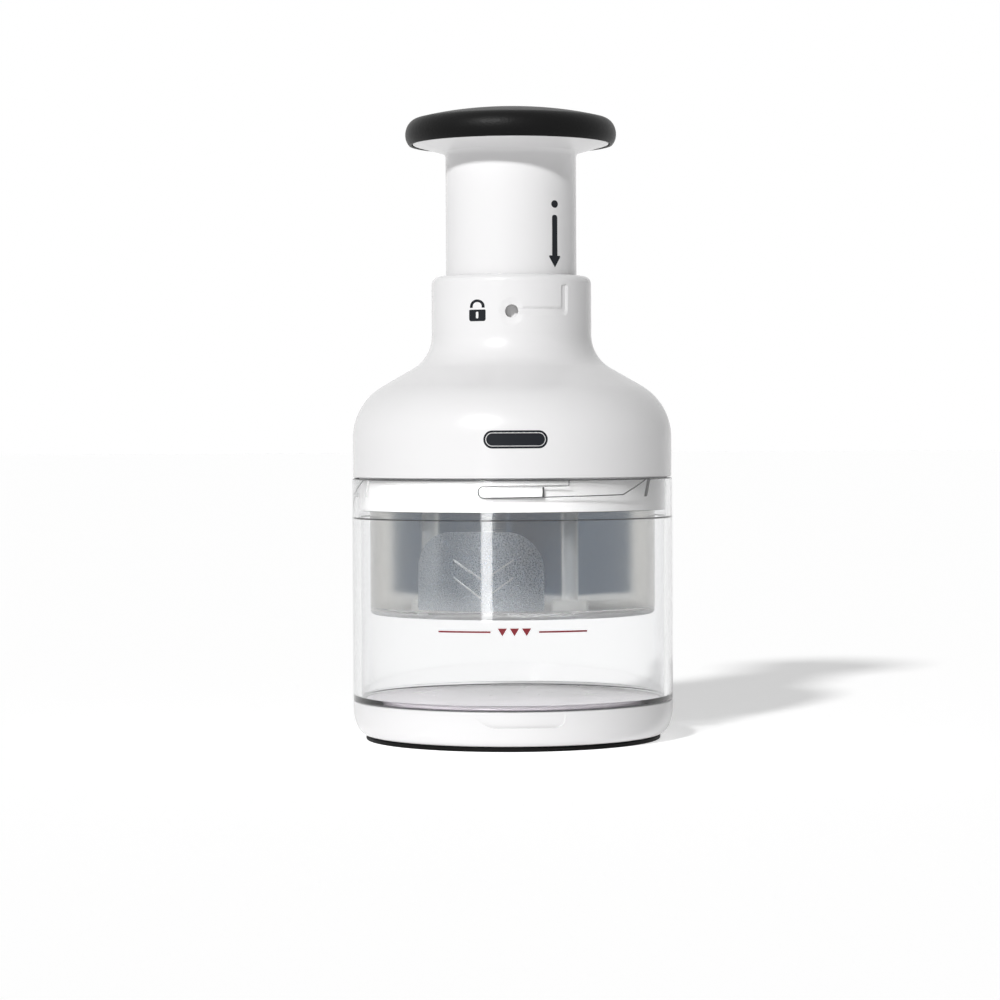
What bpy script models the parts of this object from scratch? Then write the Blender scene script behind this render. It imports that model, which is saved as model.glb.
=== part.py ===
"""Press-down food chopper, modelled as the separate pieces that it comes apart into.

Lengths are metres, angles are degrees, +Z is up, and the chopper stands on z = 0. An azimuth is
measured round the Z axis from the front (-Y) and grows towards +X. Everything that turns or slides
does so on the Z axis, so every piece hangs from an empty on that axis.

Pressing the knob slides the plunger down. The blades drop with it and land on the pad, a buffer
spring takes up the last of the stroke, and two saw-toothed rings step the blades and their guard
round. With the knob down, a twist takes three lugs on the plunger tube under three ledges.
"""

import math

import bmesh
import bpy
from mathutils import Vector

# Facets round the large pieces, the inner pieces and the small ones
LARGE_FACETS = 40
INNER_FACETS = 20
SMALL_FACETS = 8
FACET_ANGLE = 9.0

# Rods are turned a little, so that none of their edges lies on an edge of a turned piece
ROD_TWIST = 10.0

# Gaps: between pieces that touch, round sliding pieces, round the skirt in the cup
TOUCH_GAP = 0.0003
SLIDE_GAP = 0.0004
SKIRT_GAP = 0.0006

# Foot ring and base cap
FOOT_HEIGHT = 0.0014
FOOT_WIDTH = 0.0055
FOOT_RIB_WIDTH = 0.0020
FOOT_RIB_HEIGHT = 0.0014
BASE_HEIGHT = 0.0115
BASE_RIM_WALL = 0.0016
BASE_FLOOR = 0.0025
BASE_CORNER_WIDTH = 0.0046
BASE_CORNER_HEIGHT = 0.0093
BASE_SOCKET_DEPTH = 0.0062
BASE_DECK_DROP = 0.0015
BASE_HOLLOW_INSET = 0.0075
NOTCH_START = -15.0
NOTCH_END = 18.5
NOTCH_HEIGHT = 0.0052
NOTCH_DEPTH = 0.0011
NOTCH_ROUND = 0.0008
PAD_THICKNESS = 0.0020

# Cup
CUP_RADIUS = 0.0540
CUP_HEIGHT = 0.0744
CUP_WALL = 0.0028
CUP_RIM_WALL = 0.0018
CUP_RIM_DEPTH = 0.0133
CUP_EDGE = 0.0003
SPIGOT_LENGTH = 0.0059
SPIGOT_WALL = 0.0015
SPIGOT_RISE = 0.0016

# Bayonet between the skirt and the cup
LUG_COUNT = 3
LUG_START = -12.3
LUG_END = 10.2
LUG_HEIGHT = 0.0025
LUG_DROP = 0.0027
CHANNEL_WALL = 0.0007
CHANNEL_SLACK = 1.2
UNLOCK_TURN = 43.0
ENTRY_START = LUG_START + UNLOCK_TURN - 1.5
ENTRY_END = LUG_END + UNLOCK_TURN + 3.5

# Inner frame: skirt, plate, chimney and guide
SKIRT_WALL = 0.0020
SKIRT_DEPTH = 0.0108
FRAME_RISE = 0.0085
PLATE_THICKNESS = 0.0020
CHIMNEY_WALL = 0.0012
GUIDE_LENGTH = 0.0235
GUIDE_WALL = 0.0020
HOOK_COUNT = 3
HOOK_AZIMUTH = 60.0
HOOK_SPAN = 23.0
HOOK_HEIGHT = 0.0013

# Housing shell
SHELL_WALL = 0.0017
SHELL_INSET = 0.0003
NECK_WIDTH = 0.0049
SHOULDER_START = 0.0132
SHOULDER_ROUND = 0.0200
SHOULDER_SLOPE = 30.0
NECK_FILLET = 0.0130
HOUSING_HEIGHT = 0.0673
COLLAR_ROUND = 0.0025
COLLAR_LIP = 0.0017
BOSS_RADIUS = 0.0034
BOSS_INSET = 0.0120

# Sight hole, its dish and the groove that shows the way to the lock
HOLE_RADIUS = 0.0022
HOLE_DROP = 0.0125
DISH_RADIUS = 0.0160
DISH_DEPTH = 0.0007
LOCK_TURN = 42.0
GROOVE_WIDTH = 0.0017
GROOVE_DEPTH = 0.0004
GROOVE_START = 8.0
GROOVE_TOP_DROP = 0.0035

# Plunger: travel, tube, lugs and ledges
PRESS_TRAVEL = 0.0360
TUBE_RADIUS = 0.0220
TUBE_WALL = 0.0020
TUBE_LUG_COUNT = 3
TUBE_LUG_REACH = 0.0013
TUBE_LUG_HEIGHT = 0.0035
TUBE_LUG_SPAN = 16.0
LEDGE_SPAN = 17.0
LEDGE_HEIGHT = 0.0020
BUMPER_THICKNESS = 0.0019

# Knob
SHELF_WIDTH = 0.0034
SHELF_HEIGHT = 0.0020
FLARE_RADIUS = 0.0331
FLARE_ROOT_HEIGHT = 0.0601
FLARE_SLOPE = 15.5
FLARE_FILLET = 0.0020
FLARE_RIM = 0.0030
PLATE_LID = 0.0030
GRIP_HEIGHT = 0.0065
GRIP_OVERHANG = 0.0022
GRIP_EDGE_WIDTH = 0.0047
GRIP_EDGE_HEIGHT = 0.0049
KNOB_SCREW_INSET = 0.0066

# Plunger core with its key, buffer spring and plug
CORE_DISC = 0.0032
CORE_RADIUS = 0.0087
CORE_WALL = 0.0024
CORE_LENGTH = 0.0993
CORE_LIP = 0.0030
KEY_WIDTH = 0.0020
KEY_REACH = 0.0011
PLUG_DEPTH = 0.0533
PLUG_FLANGE = 0.0036
PLUG_FLANGE_THICKNESS = 0.0014
PLUG_WALL = 0.0014

# Springs
SPRING_WIRE = 0.0016
SPRING_GAP = 0.0008
SPRING_TURNS = 10
BUFFER_WIRE = 0.0009
BUFFER_RADIUS = 0.0049
BUFFER_TURNS = 8
COIL_POINTS = 8
DEAD_GAP = 0.0005

# Saw-toothed rings that step the blades round
TOOTH_COUNT = 12
TOOTH_HEIGHT = 0.0020
TOOTH_RAMP = 0.92
RING_WIDTH = 0.0060
RING_THICKNESS = 0.0015
RING_PEG_RADIUS = 0.0014
RING_PEG_COUNT = 3
ROTOR_RIM = 0.0031
ROTOR_WEB = 0.0020

# Blades
BLADE_AZIMUTH = -7.5
BLADE_THICKNESS = 0.0008
BLADE_LANDING_GAP = 0.0005
BLADE_OVERTRAVEL = 0.0033
BLADE_GRIP = 0.0022
BLADE_TIP_GAP = 0.0063
BLADE_TIP_Y = 0.0050
BLADE_FOLD_SHARE = 0.5625
BLADE_MIDDLE_SHARE = 0.3333

# Blade carrier, shaft and its screw
CARRIER_THICKNESS = 0.0050
HUB_RADIUS = 0.0095
HUB_RISE = 0.0037
HUB_RECESS = 0.0025
JOURNAL_RADIUS = 0.0035
SHAFT_RADIUS = 0.0040
SHAFT_COLLAR_RADIUS = 0.0070
SHAFT_COLLAR_HEIGHT = 0.0020
SHAFT_HEAD_HEIGHT = 0.0030
WASHER_THICKNESS = 0.0012
ROTOR_SCREW_CIRCLE = 0.0170

# Blade guard
GUARD_WALL = 0.0017
GUARD_FLANGE_WIDTH = 0.0012
GUARD_FLANGE_HEIGHT = 0.0012
GUARD_RISE = 0.0118
GUARD_FLOOR = 0.0020
GUARD_EDGE = 0.0015
EDGE_SHELTER = 0.0028
BLADE_SLOT = 0.0022
POST_RADIUS = 0.0026
POST_INSET = 0.00735
POST_SETBACK = 0.0048
POST_HEAD_GAP = 0.0060
POST_FOOT_WIDTH = 0.0110
POST_FOOT_DEPTH = 0.0062
POST_FOOT_HEIGHT = 0.0040
GRIP_AZIMUTH = -13.6
GRIP_SPAN = 53.0
GRIP_BASE = 0.0030
GRIP_TOP = 0.0286
GRIP_PROUD = 0.0004

# Screws: shank, pilot slack, pan head
SCREW_RADIUS = 0.0013
SCREW_HEAD_RADIUS = 0.0026
SCREW_HEAD_HEIGHT = 0.0016
SCREW_SOCKET = 0.0011
FRAME_SCREW_COUNT = 3
KNOB_SCREW_COUNT = 3
FRAME_SCREW_LENGTH = 0.0100
KNOB_SCREW_LENGTH = 0.0058
ROTOR_SCREW_LENGTH = 0.0045
SHAFT_SCREW_RADIUS = 0.0015
SHAFT_SCREW_HEAD_RADIUS = 0.0034
SHAFT_SCREW_LENGTH = 0.0068

# Heights that follow from the sizes above, from the table up
BASE_BOTTOM = FOOT_HEIGHT + TOUCH_GAP
BASE_TOP = BASE_BOTTOM + BASE_HEIGHT
DECK_TOP = BASE_TOP - BASE_DECK_DROP
SOCKET_FLOOR = BASE_TOP - BASE_SOCKET_DEPTH
PAD_BOTTOM = DECK_TOP + TOUCH_GAP
PAD_TOP = PAD_BOTTOM + PAD_THICKNESS
SPIGOT_BOTTOM = SOCKET_FLOOR + TOUCH_GAP
CUP_SHOULDER = max(SPIGOT_BOTTOM + SPIGOT_LENGTH, BASE_TOP) + TOUCH_GAP
CUP_RIM = CUP_SHOULDER + CUP_HEIGHT
CUP_LEDGE = CUP_RIM - CUP_RIM_DEPTH
SHELL_BOTTOM = CUP_RIM + TOUCH_GAP
PLATE_BOTTOM = CUP_RIM + FRAME_RISE
PLATE_TOP = PLATE_BOTTOM + PLATE_THICKNESS
SKIRT_BOTTOM = CUP_RIM - SKIRT_DEPTH
LUG_TOP = CUP_RIM - LUG_DROP
LUG_BOTTOM = LUG_TOP - LUG_HEIGHT
HOOK_TOP = SKIRT_BOTTOM + HOOK_HEIGHT
COLLAR_TOP = SHELL_BOTTOM + HOUSING_HEIGHT
LIP_BOTTOM = COLLAR_TOP - COLLAR_LIP
HOLE_HEIGHT = COLLAR_TOP - HOLE_DROP

# Heights of the plunger and the knob, at rest
BUMPER_BOTTOM = PLATE_TOP + TOUCH_GAP
BUMPER_TOP = BUMPER_BOTTOM + BUMPER_THICKNESS
TUBE_BOTTOM = BUMPER_TOP + TOUCH_GAP + PRESS_TRAVEL
TUBE_LUG_TOP = TUBE_BOTTOM + TUBE_LUG_HEIGHT
BUSH_BOTTOM = TUBE_LUG_TOP + TOUCH_GAP
BUSH_TOP = LIP_BOTTOM - TOUCH_GAP
CHIMNEY_TOP = BUSH_BOTTOM - TOUCH_GAP
LEDGE_BOTTOM = TUBE_LUG_TOP - PRESS_TRAVEL + TOUCH_GAP
FLARE_ROOT = TUBE_BOTTOM + FLARE_ROOT_HEIGHT
FLARE_EDGE = FLARE_ROOT + (FLARE_RADIUS - TUBE_RADIUS) * math.tan(math.radians(FLARE_SLOPE))
FLARE_TOP = FLARE_EDGE + FLARE_RIM
LID_BOTTOM = FLARE_TOP + TOUCH_GAP
LID_TOP = LID_BOTTOM + PLATE_LID
GRIP_BOTTOM = LID_TOP + TOUCH_GAP
GRIP_PEAK = GRIP_BOTTOM + GRIP_HEIGHT
CORE_TOP = LID_BOTTOM - TOUCH_GAP
CORE_DISC_BOTTOM = CORE_TOP - CORE_DISC
CORE_BOTTOM = CORE_TOP - CORE_LENGTH
LIP_TOP = CORE_BOTTOM + CORE_LIP
SHELF_TOP = CORE_DISC_BOTTOM - TOUCH_GAP
SHELF_BOTTOM = SHELF_TOP - SHELF_HEIGHT
PLUG_SEAT = CORE_TOP - PLUG_FLANGE_THICKNESS - TOUCH_GAP
PLUG_BOTTOM = CORE_TOP - PLUG_DEPTH

# Heights of the blades and their guard, at rest
BLADE_TRAVEL = PRESS_TRAVEL - BLADE_OVERTRAVEL
BLADE_EDGE = PAD_TOP + BLADE_LANDING_GAP + BLADE_TRAVEL
GUARD_FLOOR_TOP = BLADE_EDGE - EDGE_SHELTER
GUARD_BOTTOM = GUARD_FLOOR_TOP - GUARD_FLOOR
FLANGE_BOTTOM = HOOK_TOP + TOUCH_GAP
FLANGE_TOP = FLANGE_BOTTOM + GUARD_FLANGE_HEIGHT
GUARD_TOP = FLANGE_TOP + GUARD_RISE
RING_TOP = PLATE_BOTTOM - TOUCH_GAP
RING_ROOT = RING_TOP - RING_THICKNESS
RING_TIP = RING_ROOT - TOOTH_HEIGHT
ROTOR_BOTTOM = RING_TIP - TOUCH_GAP - ROTOR_RIM
ROTOR_WEB_TOP = ROTOR_BOTTOM + ROTOR_WEB
CARRIER_TOP = ROTOR_BOTTOM - TOUCH_GAP
CARRIER_BOTTOM = CARRIER_TOP - CARRIER_THICKNESS
HUB_TOP = CARRIER_TOP + HUB_RISE
RECESS_TOP = CARRIER_BOTTOM + HUB_RECESS
BLADE_TOP = CARRIER_BOTTOM + BLADE_GRIP
POST_TOP = PLATE_BOTTOM - POST_HEAD_GAP
SHAFT_COLLAR_BOTTOM = HUB_TOP + TOUCH_GAP
SHAFT_COLLAR_TOP = SHAFT_COLLAR_BOTTOM + SHAFT_COLLAR_HEIGHT
SHAFT_HEAD_BOTTOM = LIP_TOP + TOUCH_GAP
SHAFT_HEAD_TOP = SHAFT_HEAD_BOTTOM + SHAFT_HEAD_HEIGHT
JOURNAL_BOTTOM = RECESS_TOP - TOUCH_GAP
WASHER_TOP = JOURNAL_BOTTOM - TOUCH_GAP
WASHER_BOTTOM = WASHER_TOP - WASHER_THICKNESS

# Radii that follow from the sizes above, from the outside in
BASE_FLAT_RADIUS = CUP_RADIUS - BASE_CORNER_WIDTH
SOCKET_OUTER = CUP_RADIUS - BASE_RIM_WALL
SPIGOT_OUTER = SOCKET_OUTER - TOUCH_GAP
SPIGOT_INNER = SPIGOT_OUTER - SPIGOT_WALL
SOCKET_INNER = SPIGOT_INNER - TOUCH_GAP
PAD_RADIUS = SOCKET_INNER - TOUCH_GAP
CUP_INNER = CUP_RADIUS - CUP_WALL
CUP_RIM_INNER = CUP_RADIUS - CUP_RIM_WALL
CHANNEL_OUTER = CUP_RADIUS - CHANNEL_WALL
SKIRT_OUTER = CUP_RIM_INNER - SKIRT_GAP
SKIRT_INNER = SKIRT_OUTER - SKIRT_WALL
LUG_OUTER = CHANNEL_OUTER - TOUCH_GAP
FLANGE_OUTER = SKIRT_INNER - SLIDE_GAP
GUARD_OUTER = FLANGE_OUTER - GUARD_FLANGE_WIDTH
HOOK_INNER = GUARD_OUTER + SLIDE_GAP
GUARD_INNER = GUARD_OUTER - GUARD_WALL
CARRIER_RADIUS = GUARD_INNER - SLIDE_GAP
SHELL_RADIUS = CUP_RADIUS - SHELL_INSET
SHELL_INNER = SHELL_RADIUS - SHELL_WALL
BOSS_CIRCLE = SHELL_INNER - BOSS_INSET
NECK_RADIUS = TUBE_RADIUS + NECK_WIDTH
NECK_INNER = NECK_RADIUS - SHELL_WALL
CHIMNEY_OUTER = NECK_INNER - TOUCH_GAP
CHIMNEY_INNER = CHIMNEY_OUTER - CHIMNEY_WALL
RING_INNER = CHIMNEY_OUTER + TOUCH_GAP
RING_OUTER = RING_INNER + RING_WIDTH
BUSH_INNER = TUBE_RADIUS + TOUCH_GAP
TUBE_INNER = TUBE_RADIUS - TUBE_WALL
TUBE_LUG_OUTER = TUBE_RADIUS + TUBE_LUG_REACH
LEDGE_INNER = TUBE_RADIUS + SLIDE_GAP
KNOB_SCREW_CIRCLE = FLARE_RADIUS - KNOB_SCREW_INSET
SHELF_INNER = TUBE_INNER - SHELF_WIDTH
SPRING_RADIUS = SHELF_INNER - SPRING_GAP - SPRING_WIRE / 2
CORE_DISC_RADIUS = TUBE_INNER - SLIDE_GAP
CORE_BORE = CORE_RADIUS - CORE_WALL
GUIDE_INNER = CORE_RADIUS + TOUCH_GAP
GUIDE_OUTER = GUIDE_INNER + GUIDE_WALL
PLUG_RADIUS = CORE_BORE - SLIDE_GAP
PLUG_SEAT_RADIUS = PLUG_RADIUS + PLUG_FLANGE + TOUCH_GAP
SHAFT_HEAD_RADIUS = CORE_BORE - TOUCH_GAP
HUB_BORE = JOURNAL_RADIUS + TOUCH_GAP
PILOT_RADIUS = SCREW_RADIUS + TOUCH_GAP

# Plan of the blades and of the posts just outside their folds, from the guard's inside
BLADE_TIP_X = GUARD_INNER - BLADE_TIP_GAP
BLADE_FOLD_X = BLADE_TIP_X * BLADE_FOLD_SHARE
POST_Y = math.sqrt((GUARD_INNER - POST_INSET) ** 2 - BLADE_FOLD_X**2)
BLADE_FOLD_Y = POST_Y - POST_SETBACK
BLADE_MIDDLE_Y = BLADE_FOLD_Y * BLADE_MIDDLE_SHARE

COLLECTION = bpy.data.collections.new("food_chopper")
CUTTERS = bpy.data.collections.new("food_chopper_cutters")

# Finish of each kind of piece: colour, roughness, metallic
WHITE_PLASTIC = ((0.88, 0.88, 0.88), 0.22, 0.0)
INNER_PLASTIC = ((0.80, 0.80, 0.81), 0.40, 0.0)
CLEAR_PLASTIC = ((0.90, 0.93, 0.95), 0.05, 0.0)
FROSTED_PLASTIC = ((0.74, 0.77, 0.80), 0.45, 0.0)
GREY_PLASTIC = ((0.62, 0.60, 0.63), 0.15, 0.0)
BLACK_RUBBER = ((0.02, 0.02, 0.02), 0.65, 0.0)
POLISHED_STEEL = ((0.55, 0.58, 0.62), 0.22, 1.0)


def clear_scene():
    """Empties the file of what a new scene starts with."""
    for obj in list(bpy.data.objects):
        bpy.data.objects.remove(obj, do_unlink=True)
    scene = bpy.context.scene
    scene.collection.children.link(COLLECTION)
    scene.collection.children.link(CUTTERS)


def polar(radius, azimuth, height=0.0):
    """A point at a radius, an azimuth from the front and a height."""
    angle = math.radians(azimuth)
    return Vector((radius * math.sin(angle), -radius * math.cos(angle), height))


def azimuths(count, first=0.0):
    """Evenly spaced azimuths, starting at the first."""
    return [first + 360.0 * i / count for i in range(count)]


def arc(centre, radii, start, end, steps):
    """Points (radius, height) on a stretch of ellipse; its angles are in degrees above the +X side."""
    angles = [math.radians(start + (end - start) * i / steps) for i in range(steps + 1)]
    return [(centre[0] + radii[0] * math.cos(a), centre[1] + radii[1] * math.sin(a)) for a in angles]


def finish_of(name, kind):
    """A material for one piece."""
    colour, roughness, metallic = kind
    material = bpy.data.materials.new(f"{name}_finish")
    material.use_nodes = True
    shader = material.node_tree.nodes["Principled BSDF"]
    shader.inputs["Base Color"].default_value = (*colour, 1.0)
    shader.inputs["Roughness"].default_value = roughness
    shader.inputs["Metallic"].default_value = metallic
    material.diffuse_color = (*colour, 1.0)
    return material


def add_object(name, data, frame, location=(0.0, 0.0, 0.0), rotation=(0.0, 0.0, 0.0)):
    """Puts an object into the chopper's collection, carried by its body's empty."""
    obj = bpy.data.objects.new(name, data)
    COLLECTION.objects.link(obj)
    obj.parent = frame
    obj.location = location
    obj.rotation_euler = rotation
    return obj


def body_frame(name, parent=None, azimuth=0.0):
    """An empty on the Z axis that carries one moving body."""
    frame = bpy.data.objects.new(name, None)
    COLLECTION.objects.link(frame)
    frame.empty_display_size = CUP_RADIUS
    frame.parent = parent
    frame.rotation_euler.z = math.radians(azimuth)
    return frame


def mesh_from(name, bm):
    """A mesh from bmesh work, with its faces turned outwards."""
    bmesh.ops.recalc_face_normals(bm, faces=bm.faces)
    mesh = bpy.data.meshes.new(name)
    bm.to_mesh(mesh)
    bm.free()
    return mesh


def turned(name, profile, frame, facets=LARGE_FACETS, location=(0.0, 0.0, 0.0), rotation=(0.0, 0.0, 0.0)):
    """A turned piece: its profile (radius, height) runs down the outer side and is swept round Z."""
    points = [(radius, 0.0, height) for radius, height in profile]
    edges = [(i, i + 1) for i in range(len(points) - 1)]
    if profile[0][0] > 0.0:
        edges.append((len(points) - 1, 0))
    mesh = bpy.data.meshes.new(name)
    mesh.from_pydata(points, edges, [])
    obj = add_object(name, mesh, frame, location, rotation)
    screw = obj.modifiers.new("Turn", "SCREW")
    screw.steps = facets
    screw.render_steps = facets
    screw.use_merge_vertices = True
    screw.merge_threshold = 1e-6
    return obj


def arc_block(name, frame, radii, span, heights):
    """A block bent round Z: its inner and outer radius, first and last azimuth, bottom and top."""
    corners = [
        (radii[0], heights[0]),
        (radii[1], heights[0]),
        (radii[1], heights[1]),
        (radii[0], heights[1]),
    ]
    bm = bmesh.new()
    bm.faces.new([bm.verts.new(polar(radius, span[0], height)) for radius, height in corners])
    bmesh.ops.spin(
        bm,
        geom=bm.verts[:] + bm.edges[:] + bm.faces[:],
        axis=(0.0, 0.0, 1.0),
        cent=(0.0, 0.0, 0.0),
        angle=math.radians(span[1] - span[0]),
        steps=max(2, round((span[1] - span[0]) / FACET_ANGLE)),
    )
    return add_object(name, mesh_from(name, bm), frame)


def box(name, frame, size, centre, azimuth=0.0):
    """A rectangular block, turned about its own upright axis."""
    bm = bmesh.new()
    bmesh.ops.create_cube(bm, size=1.0)
    bmesh.ops.scale(bm, verts=bm.verts, vec=size)
    return add_object(name, mesh_from(name, bm), frame, centre, (0.0, 0.0, math.radians(azimuth)))


def rod(name, frame, radius, bottom, top, at=(0.0, 0.0), facets=SMALL_FACETS):
    """An upright cylinder between two heights."""
    bm = bmesh.new()
    bmesh.ops.create_cone(
        bm, cap_ends=True, segments=facets, radius1=radius, radius2=radius, depth=top - bottom
    )
    place = (at[0], at[1], (bottom + top) / 2)
    return add_object(name, mesh_from(name, bm), frame, place, (0.0, 0.0, math.radians(ROD_TWIST)))


def folded_sheet(name, frame, corners, thickness, bottom, top):
    """An upright sheet that follows a zigzag of corners, thickened both ways."""
    points = [(x, y, z) for z in (bottom, top) for x, y in corners]
    count = len(corners)
    faces = [(i, i + 1, count + i + 1, count + i) for i in range(count - 1)]
    mesh = bpy.data.meshes.new(name)
    mesh.from_pydata(points, [], faces)
    obj = add_object(name, mesh, frame)
    solidify = obj.modifiers.new("Thickness", "SOLIDIFY")
    solidify.thickness = thickness
    solidify.offset = 0.0
    solidify.use_even_offset = True
    return obj


def toothed_ring(name, frame, inner, outer, back, root, tip):
    """A flat ring whose other face is a circle of saw teeth, each a long ramp and a short drop."""
    pitch = 360.0 / TOOTH_COUNT
    sections = []
    for start in azimuths(TOOTH_COUNT):
        sections.append((start, root))
        sections.append((start + pitch * TOOTH_RAMP / 2, (root + tip) / 2))
        sections.append((start + pitch * TOOTH_RAMP, tip))
    bm = bmesh.new()
    loops = []
    for azimuth, height in sections:
        corners = [(inner, back), (outer, back), (outer, height), (inner, height)]
        loops.append([bm.verts.new(polar(radius, azimuth, z)) for radius, z in corners])
    for i, loop in enumerate(loops):
        following = loops[(i + 1) % len(loops)]
        for k in range(4):
            j = (k + 1) % 4
            bm.faces.new((loop[k], loop[j], following[j], following[k]))
    return add_object(name, mesh_from(name, bm), frame)


def coil(name, frame, radius, wire, bottom, top, turns):
    """A compression spring: dead turns that nearly touch at both ends, even turns between."""
    dead_pitch = wire + DEAD_GAP
    low, high = bottom + wire / 2, top - wire / 2
    live_pitch = (high - low - 2 * dead_pitch) / (turns - 2)
    curve = bpy.data.curves.new(name, "CURVE")
    curve.dimensions = "3D"
    curve.bevel_depth = wire / 2
    curve.bevel_resolution = 1
    curve.use_fill_caps = True
    spline = curve.splines.new("POLY")
    spline.points.add(turns * COIL_POINTS)
    for i, point in enumerate(spline.points):
        turn = i / COIL_POINTS
        live = min(max(turn - 1.0, 0.0), turns - 2.0)
        height = low + live_pitch * live + dead_pitch * (turn - live)
        point.co = (*polar(radius, 360.0 * turn, height), 1.0)
    return add_object(name, curve, frame)


def combine(target, tool, operation):
    """Lets a hidden tool object cut, join or trim the target."""
    modifier = target.modifiers.new(tool.name, "BOOLEAN")
    modifier.operation = operation
    modifier.solver = "EXACT"
    modifier.object = tool
    tool.hide_render = True
    tool.display_type = "WIRE"
    if tool.name in COLLECTION.objects:
        COLLECTION.objects.unlink(tool)
        CUTTERS.objects.link(tool)


def cut(target, tool):
    """Takes the tool's shape out of the target."""
    combine(target, tool, "DIFFERENCE")


def join(target, tool):
    """Makes the tool's shape part of the target."""
    combine(target, tool, "UNION")


def settle(obj, kind):
    """Makes a piece's mesh real, smooth on its round faces, and gives it its material."""
    if obj.type == "MESH":
        graph = bpy.context.evaluated_depsgraph_get()
        mesh = bpy.data.meshes.new_from_object(obj.evaluated_get(graph), depsgraph=graph)
        mesh.name = obj.name
        obj.modifiers.clear()
        obj.data = mesh
        mesh.shade_smooth()
        mesh.set_sharp_from_angle(angle=math.radians(35.0))
    obj.data.materials.clear()
    obj.data.materials.append(finish_of(obj.name, kind))


def pan_screw(name, frame, seat, length, from_below=False, radius=SCREW_RADIUS, head=SCREW_HEAD_RADIUS):
    """A pan-head screw with a hexagonal socket; its head sits on the seat point."""
    crown = SCREW_HEAD_HEIGHT * 0.4
    profile = [
        (0.0, SCREW_HEAD_HEIGHT),
        (head - crown, SCREW_HEAD_HEIGHT),
        (head, SCREW_HEAD_HEIGHT - crown),
        (head, 0.0),
        (radius, 0.0),
        (radius, radius - length),
        (0.0, -length),
    ]
    tilt = math.pi if from_below else 0.0
    screw = turned(name, profile, frame, SMALL_FACETS, seat, (tilt, 0.0, 0.0))
    socket_depth = SCREW_HEAD_HEIGHT * 0.7
    socket = rod(
        f"{name}_socket",
        screw,
        SCREW_SOCKET,
        SCREW_HEAD_HEIGHT - socket_depth,
        SCREW_HEAD_HEIGHT + socket_depth,
        facets=6,
    )
    cut(screw, socket)
    settle(screw, POLISHED_STEEL)
    return screw


def make_foot_ring(frame):
    """Flat non-slip ring with a rib that holds it in the base."""
    rib_outer = BASE_FLAT_RADIUS - FOOT_RIB_WIDTH
    rib_inner = rib_outer - FOOT_RIB_WIDTH
    outer = BASE_FLAT_RADIUS + TOUCH_GAP
    rib_top = BASE_BOTTOM + FOOT_RIB_HEIGHT
    profile = [
        (outer, FOOT_HEIGHT),
        (outer, 0.0),
        (outer - FOOT_WIDTH, 0.0),
        (outer - FOOT_WIDTH, FOOT_HEIGHT),
        (rib_inner, FOOT_HEIGHT),
        (rib_inner, rib_top),
        (rib_outer, rib_top),
        (rib_outer, FOOT_HEIGHT),
    ]
    settle(turned("foot_ring", profile, frame), BLACK_RUBBER)


def make_base_cap(frame):
    """White base: a rim round a socket for the cup, a raised deck and a thumb notch."""
    groove_outer = BASE_FLAT_RADIUS - FOOT_RIB_WIDTH + TOUCH_GAP
    groove_inner = BASE_FLAT_RADIUS - 2 * FOOT_RIB_WIDTH - TOUCH_GAP
    groove_top = BASE_BOTTOM + FOOT_RIB_HEIGHT + TOUCH_GAP
    hollow = BASE_FLAT_RADIUS - BASE_HOLLOW_INSET
    corner = (BASE_FLAT_RADIUS, BASE_BOTTOM + BASE_CORNER_HEIGHT)
    profile = [
        (0.0, DECK_TOP),
        (SOCKET_INNER, DECK_TOP),
        (SOCKET_INNER, SOCKET_FLOOR),
        (SOCKET_OUTER, SOCKET_FLOOR),
        (SOCKET_OUTER, BASE_TOP),
        (CUP_RADIUS, BASE_TOP),
        *arc(corner, (BASE_CORNER_WIDTH, BASE_CORNER_HEIGHT), 0.0, -90.0, 6),
        (groove_outer, BASE_BOTTOM),
        (groove_outer, groove_top),
        (groove_inner, groove_top),
        (groove_inner, BASE_BOTTOM),
        (hollow, BASE_BOTTOM),
        (hollow, DECK_TOP - BASE_FLOOR),
        (0.0, DECK_TOP - BASE_FLOOR),
    ]
    cap = turned("base_cap", profile, frame)
    notch = arc_block(
        "thumb_notch",
        frame,
        (CUP_RADIUS - NOTCH_DEPTH, CUP_RADIUS + BASE_RIM_WALL),
        (NOTCH_START, NOTCH_END),
        (BASE_TOP - NOTCH_HEIGHT, BASE_TOP + NOTCH_HEIGHT),
    )
    bevel = notch.modifiers.new("Round", "BEVEL")
    bevel.width = NOTCH_ROUND
    bevel.segments = 2
    bevel.limit_method = "ANGLE"
    bevel.angle_limit = math.radians(60.0)
    cut(cap, notch)
    settle(cap, WHITE_PLASTIC)


def make_chopping_pad(frame):
    """Flat disc that the blades land on."""
    edge = PAD_THICKNESS * 0.2
    profile = [
        (0.0, PAD_TOP),
        (PAD_RADIUS - edge, PAD_TOP),
        (PAD_RADIUS, PAD_TOP - edge),
        (PAD_RADIUS, PAD_BOTTOM),
        (0.0, PAD_BOTTOM),
    ]
    settle(turned("chopping_pad", profile, frame), GREY_PLASTIC)


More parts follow.
